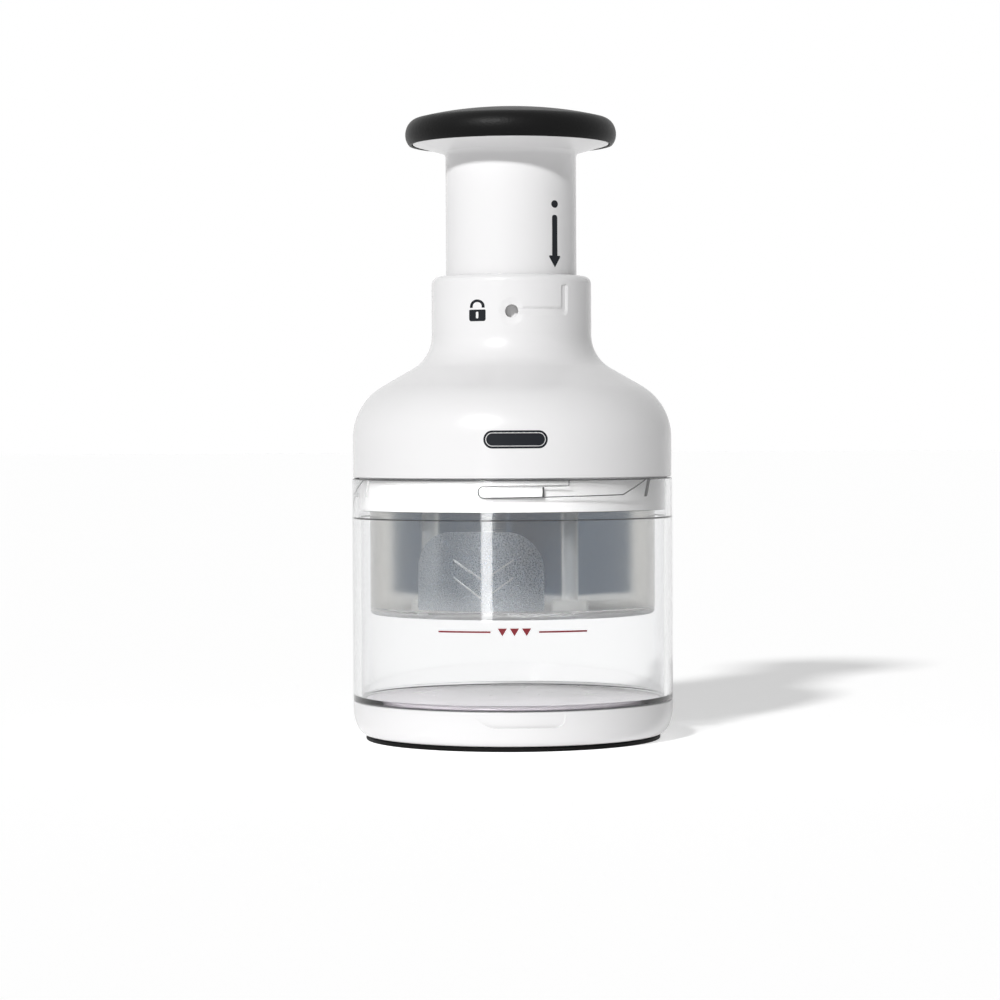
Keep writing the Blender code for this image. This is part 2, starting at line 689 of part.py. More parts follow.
def make_cup(frame):
    """Clear cup: a spigot that plugs into the base, and bayonet channels inside its rim."""
    spigot_top = CUP_SHOULDER + SPIGOT_RISE
    profile = [
        (CUP_RADIUS - CUP_EDGE, CUP_RIM),
        (CUP_RADIUS, CUP_RIM - CUP_EDGE),
        (CUP_RADIUS, CUP_SHOULDER),
        (SPIGOT_OUTER, CUP_SHOULDER),
        (SPIGOT_OUTER, SPIGOT_BOTTOM),
        (SPIGOT_INNER, SPIGOT_BOTTOM),
        (SPIGOT_INNER, CUP_SHOULDER),
        (CUP_INNER, spigot_top),
        (CUP_INNER, CUP_LEDGE),
        (CUP_RIM_INNER, CUP_LEDGE),
        (CUP_RIM_INNER, CUP_RIM - CUP_EDGE),
        (CUP_RIM_INNER + CUP_EDGE, CUP_RIM),
    ]
    cup = turned("cup", profile, frame)
    radii = (SKIRT_OUTER, CHANNEL_OUTER)
    floor = LUG_BOTTOM - TOUCH_GAP
    for i, turn in enumerate(azimuths(LUG_COUNT)):
        run = (turn + LUG_START - CHANNEL_SLACK, turn + ENTRY_END)
        cut(cup, arc_block(f"channel_{i + 1}", frame, radii, run, (floor, LUG_TOP + TOUCH_GAP)))
        entry = (turn + ENTRY_START, turn + ENTRY_END - CHANNEL_SLACK / 10)
        mouth = (LUG_BOTTOM, CUP_RIM + LUG_HEIGHT)
        cut(cup, arc_block(f"channel_mouth_{i + 1}", frame, radii, entry, mouth))
    settle(cup, CLEAR_PLASTIC)


def make_inner_frame(frame):
    """White frame inside the shell: skirt with bayonet lugs, plate, chimney and core guide."""
    profile = [
        (SKIRT_OUTER, PLATE_TOP),
        (SKIRT_OUTER, SKIRT_BOTTOM),
        (SKIRT_INNER, SKIRT_BOTTOM),
        (SKIRT_INNER, PLATE_BOTTOM),
        (GUIDE_INNER, PLATE_BOTTOM),
        (GUIDE_INNER, PLATE_TOP + GUIDE_LENGTH),
        (GUIDE_OUTER, PLATE_TOP + GUIDE_LENGTH),
        (GUIDE_OUTER, PLATE_TOP),
        (CHIMNEY_INNER, PLATE_TOP),
        (CHIMNEY_INNER, CHIMNEY_TOP),
        (CHIMNEY_OUTER, CHIMNEY_TOP),
        (CHIMNEY_OUTER, PLATE_TOP),
    ]
    inner_frame = turned("inner_frame", profile, frame)
    for i, turn in enumerate(azimuths(LUG_COUNT)):
        lug = arc_block(
            f"bayonet_lug_{i + 1}",
            frame,
            (SKIRT_OUTER - SKIRT_WALL / 4, LUG_OUTER),
            (turn + LUG_START, turn + LUG_END),
            (LUG_BOTTOM, LUG_TOP),
        )
        join(inner_frame, lug)
    for i, middle in enumerate(azimuths(HOOK_COUNT, HOOK_AZIMUTH)):
        hook = arc_block(
            f"guard_hook_{i + 1}",
            frame,
            (HOOK_INNER, SKIRT_INNER + SKIRT_WALL / 4),
            (middle - HOOK_SPAN / 2, middle + HOOK_SPAN / 2),
            (SKIRT_BOTTOM + SKIRT_WALL / 10, HOOK_TOP),
        )
        join(inner_frame, hook)
    for i, middle in enumerate(azimuths(TUBE_LUG_COUNT)):
        ledge = arc_block(
            f"lock_ledge_{i + 1}",
            frame,
            (LEDGE_INNER, CHIMNEY_INNER + CHIMNEY_WALL / 3),
            (middle - LEDGE_SPAN / 2, middle + LEDGE_SPAN / 2),
            (LEDGE_BOTTOM, LEDGE_BOTTOM + LEDGE_HEIGHT),
        )
        join(inner_frame, ledge)
    hole_ends = (PLATE_BOTTOM - PLATE_THICKNESS, PLATE_TOP + PLATE_THICKNESS)
    for i, azimuth in enumerate(azimuths(FRAME_SCREW_COUNT, HOOK_AZIMUTH)):
        at = polar(BOSS_CIRCLE, azimuth)
        cut(inner_frame, rod(f"frame_hole_{i + 1}", frame, PILOT_RADIUS, *hole_ends, at))
    for i, azimuth in enumerate(azimuths(RING_PEG_COUNT)):
        at = polar((RING_INNER + RING_OUTER) / 2, azimuth)
        hole = rod(f"peg_hole_{i + 1}", frame, RING_PEG_RADIUS + TOUCH_GAP, *hole_ends, at)
        cut(inner_frame, hole)
    key_reach = CORE_RADIUS + KEY_REACH + TOUCH_GAP
    keyway_top = PLATE_TOP + GUIDE_LENGTH + PLATE_THICKNESS
    keyway = box(
        "core_keyway",
        frame,
        (KEY_WIDTH + 2 * TOUCH_GAP, key_reach, keyway_top - PLATE_BOTTOM + PLATE_THICKNESS),
        (0.0, key_reach / 2, (keyway_top + PLATE_BOTTOM - PLATE_THICKNESS) / 2),
    )
    cut(inner_frame, keyway)
    settle(inner_frame, WHITE_PLASTIC)


def shoulder(inset, steps):
    """The shell's side from the neck down to its straight wall, set in by a distance."""
    slope = math.radians(SHOULDER_SLOPE)
    turn = 90.0 - SHOULDER_SLOPE
    round_centre = (SHELL_RADIUS - SHOULDER_ROUND, SHELL_BOTTOM + SHOULDER_START)
    fillet_radius = NECK_RADIUS + NECK_FILLET
    meeting_radius = round_centre[0] + SHOULDER_ROUND * math.sin(slope)
    meeting_height = round_centre[1] + SHOULDER_ROUND * math.cos(slope)
    fillet_foot = fillet_radius - NECK_FILLET * math.sin(slope)
    rise = (meeting_radius - fillet_foot) * math.tan(slope)
    fillet_centre = (fillet_radius, meeting_height + rise + NECK_FILLET * math.cos(slope))
    fillet = NECK_FILLET + inset
    rounding = SHOULDER_ROUND - inset
    return [
        *arc(fillet_centre, (fillet, fillet), 180.0, 180.0 + turn, steps),
        *arc(round_centre, (rounding, rounding), turn, 0.0, steps),
    ]


def make_housing_shell(frame):
    """White bottle-shaped shell with its collar, sight hole, dish, lock groove and screw bosses."""
    collar_corner = (NECK_RADIUS - COLLAR_ROUND, COLLAR_TOP - COLLAR_ROUND)
    profile = [
        (TUBE_RADIUS + 2 * TOUCH_GAP, COLLAR_TOP),
        *arc(collar_corner, (COLLAR_ROUND, COLLAR_ROUND), 90.0, 0.0, 4),
        *shoulder(0.0, 6),
        (SHELL_RADIUS, SHELL_BOTTOM),
        (SHELL_INNER, SHELL_BOTTOM),
        *reversed(shoulder(SHELL_WALL, 4)),
        (NECK_INNER, LIP_BOTTOM),
        (TUBE_RADIUS + 2 * TOUCH_GAP, LIP_BOTTOM),
    ]
    shell = turned("housing_shell", profile, frame)
    form_profile = [
        (0.0, LIP_BOTTOM),
        *shoulder(SHELL_WALL / 2, 6),
        (SHELL_RADIUS - SHELL_WALL / 2, SHELL_BOTTOM),
        (0.0, SHELL_BOTTOM),
    ]
    for i, azimuth in enumerate(azimuths(FRAME_SCREW_COUNT, HOOK_AZIMUTH)):
        at = polar(BOSS_CIRCLE, azimuth)
        boss = rod(f"boss_{i + 1}", frame, BOSS_RADIUS, PLATE_TOP + TOUCH_GAP, COLLAR_TOP, at)
        form = turned(f"boss_limit_{i + 1}", form_profile, frame)
        combine(boss, form, "INTERSECT")
        join(shell, boss)
        pilot_top = PLATE_BOTTOM + FRAME_SCREW_LENGTH + TOUCH_GAP
        pilot = rod(f"boss_pilot_{i + 1}", frame, PILOT_RADIUS, PLATE_TOP, pilot_top, at)
        cut(shell, pilot)
    cut_sight_marks(shell, frame)
    settle(shell, WHITE_PLASTIC)


def sight_drill(name, frame, reach):
    """A level drill through the front, at the sight hole."""
    bm = bmesh.new()
    bmesh.ops.create_cone(
        bm, cap_ends=True, segments=SMALL_FACETS, radius1=HOLE_RADIUS, radius2=HOLE_RADIUS, depth=reach
    )
    location = (0.0, -NECK_RADIUS, HOLE_HEIGHT)
    return add_object(name, mesh_from(name, bm), frame, location, (math.radians(90.0), 0.0, 0.0))


def cut_sight_marks(shell, frame):
    """Sight hole, the shallow dish round it, and the groove that runs right and then up."""
    bm = bmesh.new()
    bmesh.ops.create_uvsphere(bm, u_segments=20, v_segments=20, radius=DISH_RADIUS)
    dish_place = (0.0, DISH_DEPTH - NECK_RADIUS - DISH_RADIUS, HOLE_HEIGHT)
    cut(shell, add_object("dish", mesh_from("dish", bm), frame, dish_place))
    cut(shell, sight_drill("sight_drill", frame, 2 * (NECK_RADIUS - TUBE_RADIUS)))
    depths = (NECK_RADIUS - GROOVE_DEPTH, NECK_RADIUS + GROOVE_DEPTH)
    half_angle = math.degrees(GROOVE_WIDTH / 2 / NECK_RADIUS)
    level_band = (HOLE_HEIGHT - GROOVE_WIDTH / 2, HOLE_HEIGHT + GROOVE_WIDTH / 2)
    level = arc_block("groove_level", frame, depths, (GROOVE_START, LOCK_TURN + half_angle), level_band)
    upright_band = (HOLE_HEIGHT, COLLAR_TOP - GROOVE_TOP_DROP)
    upright_span = (LOCK_TURN - half_angle, LOCK_TURN + half_angle * 0.99)
    upright = arc_block("groove_upright", frame, depths, upright_span, upright_band)
    cut(shell, level)
    cut(shell, upright)


def make_collar_bush(frame):
    """Bush in the collar that guides the plunger tube and stops its lugs."""
    profile = [
        (CHIMNEY_OUTER, BUSH_TOP),
        (CHIMNEY_OUTER, BUSH_BOTTOM),
        (BUSH_INNER, BUSH_BOTTOM),
        (BUSH_INNER, BUSH_TOP),
    ]
    bush = turned("collar_bush", profile, frame)
    cut(bush, sight_drill("bush_drill", frame, 2 * (NECK_RADIUS - TUBE_RADIUS)))
    settle(bush, INNER_PLASTIC)


def make_bumper_ring(frame):
    """Soft ring that the plunger tube meets at the end of its stroke."""
    outer = CHIMNEY_INNER - TOUCH_GAP
    profile = [
        (outer, BUMPER_TOP),
        (outer, BUMPER_BOTTOM),
        (TUBE_INNER, BUMPER_BOTTOM),
        (TUBE_INNER, BUMPER_TOP),
    ]
    settle(turned("bumper_ring", profile, frame, INNER_FACETS), BLACK_RUBBER)


def make_index_ring(frame):
    """Fixed saw-toothed ring, pegged up into the plate."""
    ring = toothed_ring("index_ring", frame, RING_INNER, RING_OUTER, RING_TOP, RING_ROOT, RING_TIP)
    for i, azimuth in enumerate(azimuths(RING_PEG_COUNT)):
        at = polar((RING_INNER + RING_OUTER) / 2, azimuth)
        foot = RING_TOP - RING_THICKNESS / 2
        join(ring, rod(f"ring_peg_{i + 1}", frame, RING_PEG_RADIUS, foot, PLATE_TOP, at))
    settle(ring, GREY_PLASTIC)


def make_frame_screws(frame):
    """Screws that hold the inner frame up against the shell's bosses."""
    for i, azimuth in enumerate(azimuths(FRAME_SCREW_COUNT, HOOK_AZIMUTH)):
        seat = polar(BOSS_CIRCLE, azimuth, PLATE_BOTTOM - TOUCH_GAP)
        pan_screw(f"frame_screw_{i + 1}", frame, seat, FRAME_SCREW_LENGTH, from_below=True)


def make_plunger_core(frame):
    """Sliding core: a top disc, a keyed tube and a lip that lifts the blade shaft."""
    profile = [
        (CORE_DISC_RADIUS, CORE_TOP),
        (CORE_DISC_RADIUS, CORE_DISC_BOTTOM),
        (CORE_RADIUS, CORE_DISC_BOTTOM),
        (CORE_RADIUS, CORE_BOTTOM),
        (SHAFT_RADIUS + TOUCH_GAP, CORE_BOTTOM),
        (SHAFT_RADIUS + TOUCH_GAP, LIP_TOP),
        (CORE_BORE, LIP_TOP),
        (CORE_BORE, PLUG_SEAT),
        (PLUG_SEAT_RADIUS, PLUG_SEAT),
        (PLUG_SEAT_RADIUS, CORE_TOP),
    ]
    core = turned("plunger_core", profile, frame, INNER_FACETS)
    root = (CORE_BORE + CORE_RADIUS) / 2
    reach = CORE_RADIUS + KEY_REACH
    key_bottom = CORE_BOTTOM + CORE_LIP
    key_top = CORE_DISC_BOTTOM + CORE_DISC / 2
    key = box(
        "core_key",
        frame,
        (KEY_WIDTH, reach - root, key_top - key_bottom),
        (0.0, (reach + root) / 2, (key_top + key_bottom) / 2),
    )
    join(core, key)
    settle(core, INNER_PLASTIC)


def make_buffer_plug(frame):
    """Hollow plug in the core's bore that the buffer spring pushes against."""
    flange = PLUG_RADIUS + PLUG_FLANGE
    bore = PLUG_RADIUS - PLUG_WALL
    floor = PLUG_BOTTOM + PLUG_WALL
    profile = [
        (0.0, floor),
        (bore, floor),
        (bore, CORE_TOP),
        (flange, CORE_TOP),
        (flange, CORE_TOP - PLUG_FLANGE_THICKNESS),
        (PLUG_RADIUS, CORE_TOP - PLUG_FLANGE_THICKNESS),
        (PLUG_RADIUS, PLUG_BOTTOM),
        (0.0, PLUG_BOTTOM),
    ]
    settle(turned("buffer_plug", profile, frame, INNER_FACETS), INNER_PLASTIC)


def make_springs(housing, plunger):
    """Return spring under the core's disc, and the stiffer buffer spring inside the core."""
    spring_bottom = PLATE_TOP + TOUCH_GAP
    spring_top = CORE_DISC_BOTTOM - TOUCH_GAP
    spring = coil(
        "return_spring", housing, SPRING_RADIUS, SPRING_WIRE, spring_bottom, spring_top, SPRING_TURNS
    )
    settle(spring, POLISHED_STEEL)
    buffer_bottom = SHAFT_HEAD_TOP + TOUCH_GAP
    buffer_top = PLUG_BOTTOM - TOUCH_GAP
    buffer = coil(
        "buffer_spring", plunger, BUFFER_RADIUS, BUFFER_WIRE, buffer_bottom, buffer_top, BUFFER_TURNS
    )
    settle(buffer, POLISHED_STEEL)


def make_knob_sleeve(frame):
    """White knob underside and plunger tube in one, with lock lugs at its lower end."""
    slope = math.radians(FLARE_SLOPE)
    corner = FLARE_FILLET * math.tan((math.pi / 2 - slope) / 2)
    fillet_centre = (TUBE_RADIUS + FLARE_FILLET, FLARE_ROOT - corner)
    profile = [
        (FLARE_RADIUS, FLARE_TOP),
        (FLARE_RADIUS, FLARE_EDGE),
        *arc(fillet_centre, (FLARE_FILLET, FLARE_FILLET), 90.0 + FLARE_SLOPE, 180.0, 3),
        (TUBE_RADIUS, TUBE_BOTTOM),
        (TUBE_INNER, TUBE_BOTTOM),
        (TUBE_INNER, SHELF_BOTTOM),
        (SHELF_INNER, SHELF_BOTTOM),
        (SHELF_INNER, SHELF_TOP),
        (TUBE_INNER, SHELF_TOP),
        (TUBE_INNER, FLARE_TOP),
    ]
    sleeve = turned("knob_sleeve", profile, frame)
    for i, middle in enumerate(azimuths(TUBE_LUG_COUNT, LOCK_TURN)):
        lug = arc_block(
            f"tube_lug_{i + 1}",
            frame,
            (TUBE_RADIUS - TUBE_WALL / 2, TUBE_LUG_OUTER),
            (middle - TUBE_LUG_SPAN / 2, middle + TUBE_LUG_SPAN / 2),
            (TUBE_BOTTOM + TUBE_WALL / 10, TUBE_LUG_TOP),
        )
        join(sleeve, lug)
    for i, azimuth in enumerate(azimuths(KNOB_SCREW_COUNT)):
        at = polar(KNOB_SCREW_CIRCLE, azimuth)
        head_seat = LID_TOP - SCREW_HEAD_HEIGHT
        pilot_bottom = head_seat - KNOB_SCREW_LENGTH - TOUCH_GAP
        pilot = rod(f"knob_pilot_{i + 1}", frame, PILOT_RADIUS, pilot_bottom, LID_BOTTOM, at)
        cut(sleeve, pilot)
    settle(sleeve, WHITE_PLASTIC)


def make_knob_plate(frame):
    """Disc that closes the knob over the core and carries the grip."""
    profile = [
        (0.0, LID_TOP),
        (FLARE_RADIUS, LID_TOP),
        (FLARE_RADIUS, LID_BOTTOM),
        (0.0, LID_BOTTOM),
    ]
    plate = turned("knob_plate", profile, frame, INNER_FACETS)
    for i, azimuth in enumerate(azimuths(KNOB_SCREW_COUNT)):
        at = polar(KNOB_SCREW_CIRCLE, azimuth)
        head_floor = LID_TOP - SCREW_HEAD_HEIGHT - TOUCH_GAP
        above = LID_TOP + PLATE_LID
        below = LID_BOTTOM - PLATE_LID
        cut(plate, rod(f"plate_hole_{i + 1}", frame, PILOT_RADIUS, below, above, at))
        head_radius = SCREW_HEAD_RADIUS + TOUCH_GAP
        cut(plate, rod(f"plate_recess_{i + 1}", frame, head_radius, head_floor, above, at))
    settle(plate, INNER_PLASTIC)


def make_grip_pad(frame):
    """Soft domed cap over the knob, drawn down round the flare's edge."""
    inner = FLARE_RADIUS + TOUCH_GAP
    outer = inner + GRIP_OVERHANG
    edge_centre = (outer - GRIP_EDGE_WIDTH, FLARE_EDGE + GRIP_EDGE_HEIGHT * 0.9)
    edge = arc(edge_centre, (GRIP_EDGE_WIDTH, GRIP_EDGE_HEIGHT), 90.0, -50.0, 7)
    rim_radius, rim_height = edge[0]
    sag = GRIP_PEAK - rim_height
    dome = [(rim_radius * k, GRIP_PEAK - sag * k * k) for k in (0.0, 0.35, 0.7)]
    profile = [
        *dome,
        *edge,
        (inner, edge[-1][1]),
        (inner, GRIP_BOTTOM),
        (0.0, GRIP_BOTTOM),
    ]
    settle(turned("grip_pad", profile, frame), BLACK_RUBBER)


def make_knob_screws(frame):
    """Screws through the knob plate into the sleeve."""
    for i, azimuth in enumerate(azimuths(KNOB_SCREW_COUNT)):
        seat = polar(KNOB_SCREW_CIRCLE, azimuth, LID_TOP - SCREW_HEAD_HEIGHT)
        pan_screw(f"knob_screw_{i + 1}", frame, seat, KNOB_SCREW_LENGTH)


def make_blade_shaft(frame):
    """Shaft with a head in the core, a collar above the carrier and a journal through it."""
    hole_radius = SHAFT_SCREW_RADIUS + TOUCH_GAP
    hole_top = WASHER_BOTTOM + SHAFT_SCREW_LENGTH + TOUCH_GAP
    profile = [
        (0.0, SHAFT_HEAD_TOP),
        (SHAFT_HEAD_RADIUS, SHAFT_HEAD_TOP),
        (SHAFT_HEAD_RADIUS, SHAFT_HEAD_BOTTOM),
        (SHAFT_RADIUS, SHAFT_HEAD_BOTTOM),
        (SHAFT_RADIUS, SHAFT_COLLAR_TOP),
        (SHAFT_COLLAR_RADIUS, SHAFT_COLLAR_TOP),
        (SHAFT_COLLAR_RADIUS, SHAFT_COLLAR_BOTTOM),
        (JOURNAL_RADIUS, SHAFT_COLLAR_BOTTOM),
        (JOURNAL_RADIUS, JOURNAL_BOTTOM),
        (hole_radius, JOURNAL_BOTTOM),
        (hole_radius, hole_top),
        (0.0, hole_top),
    ]
    settle(turned("blade_shaft", profile, frame, INNER_FACETS), POLISHED_STEEL)
    outer = SHAFT_COLLAR_RADIUS
    washer_profile = [
        (outer, WASHER_TOP),
        (outer, WASHER_BOTTOM),
        (hole_radius, WASHER_BOTTOM),
        (hole_radius, WASHER_TOP),
    ]
    settle(turned("thrust_washer", washer_profile, frame, INNER_FACETS), POLISHED_STEEL)
    seat = (0.0, 0.0, WASHER_BOTTOM - TOUCH_GAP)
    pan_screw(
        "shaft_screw",
        frame,
        seat,
        SHAFT_SCREW_LENGTH,
        from_below=True,
        radius=SHAFT_SCREW_RADIUS,
        head=SHAFT_SCREW_HEAD_RADIUS,
    )


def blade_corners(side):
    """Plan of one zigzag blade: side -1 is the front one and +1 the rear one, half a turn away."""
    front = [
        (-BLADE_TIP_X, -BLADE_TIP_Y),
        (-BLADE_FOLD_X, -BLADE_FOLD_Y),
        (0.0, -BLADE_MIDDLE_Y),
        (BLADE_FOLD_X, -BLADE_FOLD_Y),
        (BLADE_TIP_X, -BLADE_TIP_Y),
    ]
    return [(-side * x, -side * y) for x, y in front]


def stretched(corners, extra):
    """The same plan with its two ends drawn out a little further."""
    plan = [Vector(corner) for corner in corners]
    plan[0] += (plan[0] - plan[1]).normalized() * extra
    plan[-1] += (plan[-1] - plan[-2]).normalized() * extra
    return [(point.x, point.y) for point in plan]


BLADES = (("front", -1), ("rear", 1))


def make_blades(frame):
    """Two zigzag blades, one in front of the shaft and one behind."""
    for name, side in BLADES:
        blade = folded_sheet(
            f"blade_{name}", frame, blade_corners(side), BLADE_THICKNESS, BLADE_EDGE, BLADE_TOP
        )
        settle(blade, POLISHED_STEEL)


def post_places():
    """Centres of the guard's four posts, each just outside a fold of a blade."""
    return [(x, y) for x in (-BLADE_FOLD_X, BLADE_FOLD_X) for y in (-POST_Y, POST_Y)]


def make_blade_carrier(frame):
    """Disc that grips the blades, turns on the shaft's journal and slides on the guard's posts."""
    profile = [
        (HUB_RADIUS, HUB_TOP),
        (HUB_RADIUS, CARRIER_TOP),
        (CARRIER_RADIUS, CARRIER_TOP),
        (CARRIER_RADIUS, CARRIER_BOTTOM),
        (SHAFT_COLLAR_RADIUS + TOUCH_GAP, CARRIER_BOTTOM),
        (SHAFT_COLLAR_RADIUS + TOUCH_GAP, RECESS_TOP),
        (HUB_BORE, RECESS_TOP),
        (HUB_BORE, HUB_TOP),
    ]
    carrier = turned("blade_carrier", profile, frame)
    for i, at in enumerate(post_places()):
        ends = (CARRIER_BOTTOM - CARRIER_THICKNESS, CARRIER_TOP + CARRIER_THICKNESS)
        cut(carrier, rod(f"post_hole_{i + 1}", frame, POST_RADIUS + SLIDE_GAP, *ends, at))
    for name, side in BLADES:
        slot = folded_sheet(
            f"blade_seat_{name}",
            frame,
            stretched(blade_corners(side), TOUCH_GAP),
            BLADE_THICKNESS + 2 * TOUCH_GAP,
            CARRIER_BOTTOM - BLADE_GRIP,
            BLADE_TOP + TOUCH_GAP,
        )
        cut(carrier, slot)
    pilot_bottom = ROTOR_WEB_TOP - ROTOR_SCREW_LENGTH
    for i, x in enumerate((-ROTOR_SCREW_CIRCLE, ROTOR_SCREW_CIRCLE)):
        pilot = rod(f"rotor_pilot_{i + 1}", frame, PILOT_RADIUS, pilot_bottom, ROTOR_BOTTOM, (x, 0.0))
        cut(carrier, pilot)
    settle(carrier, INNER_PLASTIC)


def make_index_rotor(frame, turn):
    """Saw-toothed ring on a web; its teeth stand in the fixed ring's while the knob is up."""
    root = RING_ROOT - TOUCH_GAP
    tip = RING_TIP - TOUCH_GAP
    rotor = toothed_ring("index_rotor", frame, RING_INNER, RING_OUTER, ROTOR_BOTTOM, root, tip)
    rotor.rotation_euler.z = math.radians(-turn)
    inner = HUB_RADIUS + TOUCH_GAP
    outer = (RING_INNER + RING_OUTER) / 2
    web_bottom = ROTOR_BOTTOM + ROTOR_WEB / 10
    web_profile = [
        (outer, ROTOR_WEB_TOP),
        (outer, web_bottom),
        (inner, web_bottom),
        (inner, ROTOR_WEB_TOP),
    ]
    join(rotor, turned("rotor_web", web_profile, frame, INNER_FACETS))
    for i, x in enumerate((-ROTOR_SCREW_CIRCLE, ROTOR_SCREW_CIRCLE)):
        ends = (ROTOR_BOTTOM - ROTOR_WEB, ROTOR_WEB_TOP + ROTOR_WEB)
        cut(rotor, rod(f"rotor_hole_{i + 1}", frame, PILOT_RADIUS, *ends, (x, 0.0)))
        seat = (x, 0.0, ROTOR_WEB_TOP + TOUCH_GAP)
        pan_screw(f"rotor_screw_{i + 1}", frame, seat, ROTOR_SCREW_LENGTH)
    settle(rotor, GREY_PLASTIC)


def make_blade_guard(frame):
    """Frosted guard: a ring that hangs on the hooks, a slotted floor, posts and a grip patch."""
    edge_centre = (GUARD_OUTER - GUARD_EDGE, GUARD_BOTTOM + GUARD_EDGE)
    profile = [
        (0.0, GUARD_FLOOR_TOP),
        (GUARD_INNER, GUARD_FLOOR_TOP),
        (GUARD_INNER, GUARD_TOP),
        (GUARD_OUTER, GUARD_TOP),
        (GUARD_OUTER, FLANGE_TOP),
        (FLANGE_OUTER, FLANGE_TOP),
        (FLANGE_OUTER, FLANGE_BOTTOM),
        (GUARD_OUTER, FLANGE_BOTTOM),
        *arc(edge_centre, (GUARD_EDGE, GUARD_EDGE), 0.0, -90.0, 3),
        (0.0, GUARD_BOTTOM),
    ]
    guard = turned("blade_guard", profile, frame)
    floor_middle = GUARD_FLOOR_TOP - GUARD_FLOOR / 2
    for i, (x, y) in enumerate(post_places()):
        foot_centre = (x, y, floor_middle + POST_FOOT_HEIGHT / 2 + GUARD_FLOOR / 4)
        foot_size = (POST_FOOT_WIDTH, POST_FOOT_DEPTH, POST_FOOT_HEIGHT + GUARD_FLOOR / 2)
        join(guard, box(f"post_foot_{i + 1}", frame, foot_size, foot_centre))
        join(guard, rod(f"guard_post_{i + 1}", frame, POST_RADIUS, floor_middle, POST_TOP, (x, y)))
    for name, side in BLADES:
        slot = folded_sheet(
            f"guard_slot_{name}",
            frame,
            stretched(blade_corners(side), BLADE_SLOT / 2),
            BLADE_SLOT,
            GUARD_BOTTOM - GUARD_FLOOR,
            GUARD_FLOOR_TOP + POST_FOOT_HEIGHT + GUARD_FLOOR,
        )
        cut(guard, slot)
    join(guard, grip_patch(frame))
    settle(guard, FROSTED_PLASTIC)


def grip_patch(frame):
    """Raised patch with an arched top on the guard's outside: a bent block trimmed by an arch."""
    middle = GRIP_AZIMUTH - BLADE_AZIMUTH
    radii = (GUARD_OUTER - GUARD_WALL / 2, GUARD_OUTER + GRIP_PROUD)
    bottom, top = GUARD_BOTTOM + GRIP_BASE, GUARD_BOTTOM + GRIP_TOP
    span = (middle - GRIP_SPAN / 2, middle + GRIP_SPAN / 2)
    patch = arc_block("grip_patch", frame, radii, span, (bottom, top))
    half_width = GUARD_OUTER * math.sin(math.radians(GRIP_SPAN / 2)) + 2 * GRIP_PROUD
    arch_rise = (top - bottom) * 0.55
    springing = top - arch_rise
    outline = [(-half_width, bottom - GRIP_BASE), (half_width, bottom - GRIP_BASE)]
    outline += arc((0.0, springing), (half_width, arch_rise + GRIP_PROUD), 0.0, 180.0, 12)
    bm = bmesh.new()
    face = bm.faces.new([bm.verts.new((x, 0.0, z)) for x, z in outline])
    swept = bmesh.ops.extrude_face_region(bm, geom=[face])["geom"]
    moved = [v for v in swept if isinstance(v, bmesh.types.BMVert)]
    bmesh.ops.translate(bm, verts=moved, vec=(0.0, -2 * GUARD_OUTER, 0.0))
    arch = add_object("grip_arch", mesh_from("grip_arch", bm), frame)
    arch.rotation_euler.z = math.radians(middle)
    combine(patch, arch, "INTERSECT")
    return patch


def build():
    """Builds each body on its own empty, from the table up."""
    clear_scene()
    base = body_frame("base_body")
    cup = body_frame("cup_body", base)
    housing = body_frame("housing_body", cup)
    plunger = body_frame("plunger_body", housing)
    knob = body_frame("knob_body", plunger)
    shaft = body_frame("shaft_body", housing)
    blades = body_frame("blade_body", shaft, BLADE_AZIMUTH)
    guard = body_frame("guard_body", housing, BLADE_AZIMUTH)

    make_foot_ring(base)
    make_base_cap(base)
    make_chopping_pad(base)
    make_cup(cup)

    make_inner_frame(housing)
    make_housing_shell(housing)
    make_collar_bush(housing)
    make_bumper_ring(housing)
    make_index_ring(housing)
    make_frame_screws(housing)
    make_springs(housing, plunger)

    make_plunger_core(plunger)
    make_buffer_plug(plunger)
    make_knob_sleeve(knob)
    make_knob_plate(knob)
    make_grip_pad(knob)
    make_knob_screws(knob)

    make_blade_shaft(shaft)
    make_blade_carrier(blades)
    make_index_rotor(blades, BLADE_AZIMUTH)
    make_blades(blades)
    make_blade_guard(guard)


build()
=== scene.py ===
"""Looks of the press-down food chopper: its fine shapes, finishes, light and camera.

Lengths are metres, written as millimetres times MM. Angles are degrees, +Z is up, the front faces -Y,
and an azimuth is measured round the Z axis from the front and grows towards +X, as in the frame.
"""
import math

import bmesh
import bpy
from mathutils import Matrix, Vector


